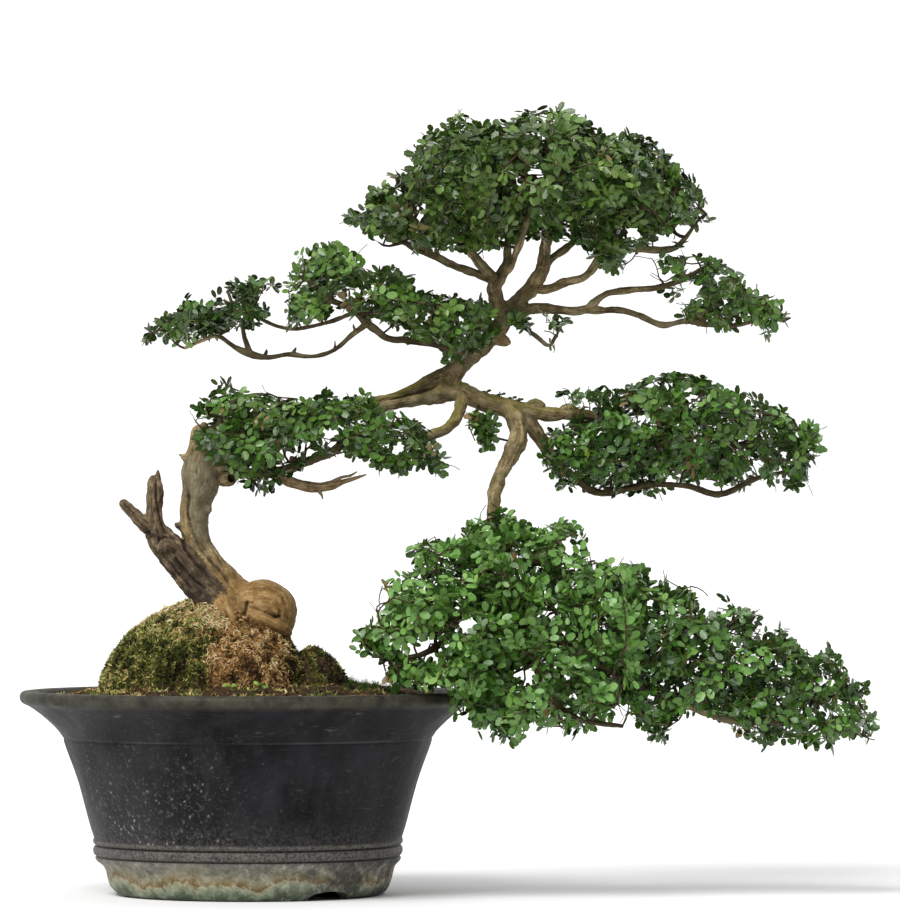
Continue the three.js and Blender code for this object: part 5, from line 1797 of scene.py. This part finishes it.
def leafy_part(number, name, outline, left, right, middle, half, apart, loose, tone, olive, bearers):
    draw = np.random.default_rng(100 + number)
    pad = Pad(outline, left, right, middle, half)
    tufts = tuft_places(pad, apart, draw)
    twigs = Twigs(tufts, bearers, draw)
    heart = tufts.mean(axis=0)
    spread = np.maximum(tufts.max(axis=0) - tufts.min(axis=0), 20) / 2
    leaves = []
    def hang(place, direction, outer, tint):
        """Lays one leaf at a place, turned until it stays in the pad's room."""
        for attempt in range(LEAF_TRIES):
            # a leaf that has found no room in half its tries has to be of the two smallest kinds
            kind = int(draw.integers(0, len(LEAF_KINDS) if attempt < LEAF_TRIES // 2 else 2))
            size = draw.uniform(0.8, 1.1)
            ahead = (direction * (1.0 - 0.1 * attempt) + draw.normal(0, 1, 3) * (0.5 + 0.07 * attempt)
                     + outer * 0.3 + np.array([0, 0, 0.1]))
            ahead /= np.linalg.norm(ahead)
            far = max(LEAF_REACH[kind] * size - loose, LEAST_REACH)
            along = np.array([[0.3], [0.65], [1.0]]) * ahead * far
            if pad.holds(place + along, gap=LEAF_CLEARANCE).all():
                above = outer * 0.6 + np.array([0, -0.25, 0.65]) + draw.normal(0, 0.6, 3)
                # painted shade: leaves deep inside a pad get a darker tint; leaves high in a pad get a paler
                # one, as young growth
                deep = 0.16 * (min(np.linalg.norm(outer), 1.1) - 0.8)
                high = 0.12 * ((place[2] - pad.low) / (pad.high - pad.low) - 0.4)
                own = tint + 0.17 * draw.normal() + deep + high
                own = YELLOW if draw.random() < YELLOW_SHARE else float(np.clip(own, 0.03, 0.82))
                leaves.append((place, leaf_turn(ahead, above), size, own, kind))
                return
    for tip in twigs.tips:
        place = twigs.places[tip]
        back = twigs.places[twigs.parents[tip]]
        direction = (place - back) / max(np.linalg.norm(place - back), 1e-6)
        tint = tone + 0.13 * draw.normal()
        for index in range(LEAVES_PER_TUFT + int(draw.integers(-1, 2))):
            hang(place - direction * LEAF_STEP * index, direction, (place - heart) / spread, tint)
    # leaves along the twigs, inside the pads, take a slightly darker tint as painted shade
    for place, parent, count in zip(twigs.places, twigs.parents, twigs.counts):
        if parent >= 0 and count <= 3 and draw.random() < TWIG_LEAF_SHARE:
            direction = draw.normal(0, 1, 3)
            hang(place, direction / np.linalg.norm(direction), (place - heart) / spread, tone - 0.05)
    for tip in twigs.tips:
        outer = (twigs.places[tip] - heart) / spread
        if np.linalg.norm(outer) > 0.7 and draw.random() < BARE_END_SHARE:
            twigs.add_bare_end(tip, outer, draw)
    points, edges, girths = twigs.lines()
    spots, turns, sizes, tints, kinds = (list(row) for row in zip(*leaves))
    olives = np.clip(olive + 0.2 * draw.normal(0, 1, len(leaves)), 0, 1)
    olives[draw.random(len(leaves)) < DRIED_SHARE] = DRIED
    mesh = bpy.data.meshes.new(name + "_sites")
    mesh.from_pydata(metres(np.array(points + spots)).tolist(), edges, [])
    none = np.zeros(len(points))
    give(mesh, "bearing", np.concatenate([none, np.ones(len(leaves))]))
    give(mesh, "girth", np.concatenate([girths, np.zeros(len(leaves))]))
    give(mesh, "turn", np.concatenate([np.zeros((len(points), 3)), np.array(turns)]))
    for label, values in (("size", sizes), ("tint", tints), ("olive", olives), ("variety", kinds)):
        give(mesh, label, np.concatenate([none, values]))
    sites = link(bpy.data.objects.new(name + "_sites", mesh))
    piece = plan_of_foliage.run(name.replace("_leaves", "") + "_foliage", sites, Leaves=leaf_kinds,
                                Sides=TWIG_SIDES, Leaf_Finish=LEAF, Twig_Finish=TWIG)
    drop(sites)
    return belongs(piece, "leaves", name)


for number, part in enumerate(PARTS):
    leafy_part(number, *part)
drop(leaf_kinds)


# Two seedlings on the soil behind the lip, (x, y)
SEEDLINGS = [(-11, -118), (17, -116)]


def seedlings():
    draw = random.Random(3)
    plants = Leaf()
    for x, y in SEEDLINGS:
        ground_here = float(soil_height(np.array([float(x)]), np.array([float(y)]))[0])
        for angle in round_angles(7):
            swing = angle + draw.uniform(-0.4, 0.4)
            ahead = (math.cos(swing), math.sin(swing), draw.uniform(0.2, 0.7))
            foot = (x + 0.8 * math.cos(swing), y + 0.8 * math.sin(swing), ground_here + draw.uniform(3, 6))
            plants.leaflet(foot, ahead, (0, -0.7, 0.8), draw.uniform(5, 8), 0.08, draw.uniform(-0.12, 0.05))
        plants.stalk(lambda share: Vector((x, y, ground_here - 1 + 4 * share)), 0.6)
    return belongs(plants.piece("seedlings", 1.0, 0.45), "soil", "soil")


# Young shoots on top of the right limb: (x, y, z), how tall and how many leaflets
SHOOTS = [
    (213, 3, 442, 2.5, 4), (226, 2, 439, 2.5, 4), (236, 2, 436, 3, 5), (242, 2, 434, 2.5, 4),
    (284, 3, 430, 15, 7),
]


def limb_shoots():
    draw = random.Random(13)
    shoots = Leaf()
    for x, y, z, tall, count in SHOOTS:
        def spine(share):
            return Vector((x - 0.35 * tall * share, y - 0.2 * tall * share, z + tall * share))
        shoots.stalk(spine, 0.45)
        for angle in round_angles(count):
            swing = angle + draw.uniform(-0.4, 0.4)
            ahead = (math.cos(swing), 0.6 * math.sin(swing), draw.uniform(-0.1, 0.5))
            foot = spine(draw.uniform(0.72, 0.98))
            length = draw.uniform(3.5, 5) if tall < 10 else draw.uniform(6, 8)
            shoots.leaflet(foot, ahead, (0, -0.8, 0.6), length, 0.08, draw.uniform(-0.1, 0.1))
    return belongs(shoots.piece("limb_shoots", 0.28, 0.3), "leaves", "right_shelf_leaves")


seedlings()
limb_shoots()


# ---- floor, light and the viewer's eye, all in metres

FLOOR_REACH = 60.0
LAMP_STRENGTH = 2.6
LAMP_WIDTH = 30
LAMP_AIM = (0.45, 0.75, -1.0)


def surroundings():
    """A white wall behind, a pale ceiling, and a dim room in front."""
    world = bpy.data.worlds.new("studio")
    bpy.context.scene.world = world
    world.use_nodes = True
    nodes, links = world.node_tree.nodes, world.node_tree.links
    shade = nodes["Background"]
    shade.inputs["Color"].default_value = (1, 1, 1, 1)
    direction = nodes.new("ShaderNodeSeparateXYZ")
    links.new(nodes.new("ShaderNodeTexCoord").outputs["Generated"], direction.inputs[0])
    brighter = nodes.new("ShaderNodeMath")
    brighter.operation = "MAXIMUM"
    # towards +Y is the wall, and towards +Z the ceiling
    for entry, axis, low, high, dim, bright in ((0, 1, 0.1, 0.7, 0.26, 1.15), (1, 2, 0.2, 0.9, 0.26, 0.9)):
        node = nodes.new("ShaderNodeMapRange")
        links.new(direction.outputs[axis], node.inputs["Value"])
        for key, value in (("From Min", low), ("From Max", high), ("To Min", dim), ("To Max", bright)):
            node.inputs[key].default_value = value
        links.new(node.outputs[0], brighter.inputs[entry])
    links.new(brighter.outputs[0], shade.inputs["Strength"])


def pale_floor():
    r = FLOOR_REACH
    floor_mesh = bpy.data.meshes.new("floor")
    floor_mesh.from_pydata([(-r, -r, 0), (r, -r, 0), (r, r, 0), (-r, r, 0)], [], [(0, 1, 2, 3)])
    floor = link(bpy.data.objects.new("floor", floor_mesh))
    pale = Finish("pale_floor", Roughness=0.9, Specular_IOR_Level=0.1)
    tone = pale.ramp(pale.grain(3, 2), (0.3, 243.445, 243.445, 243.445), (0.7, 246.987, 246.987, 246.987))
    floor_mesh.materials.append(pale.wear(Base_Color=tone))


def soft_lamp():
    lamp = bpy.data.lights.new("soft_key", "SUN")
    lamp.energy, lamp.angle = LAMP_STRENGTH, math.radians(LAMP_WIDTH)
    holder = link(bpy.data.objects.new("soft_key", lamp))
    holder.rotation_euler = Vector(LAMP_AIM).to_track_quat("-Z", "Y").to_euler()


def viewer():
    camera = bpy.data.cameras.new("eye")
    camera.lens = EYE_LENS
    camera.sensor_width = 36
    camera.clip_end = 200
    holder = link(bpy.data.objects.new("eye", camera))
    holder.location = metres(EYE)
    holder.rotation_euler = (math.radians(90 + EYE_TILT), 0, 0)
    bpy.context.scene.camera = holder


surroundings()
pale_floor()
soft_lamp()
viewer()
bpy.context.scene.view_settings.view_transform = "Standard"
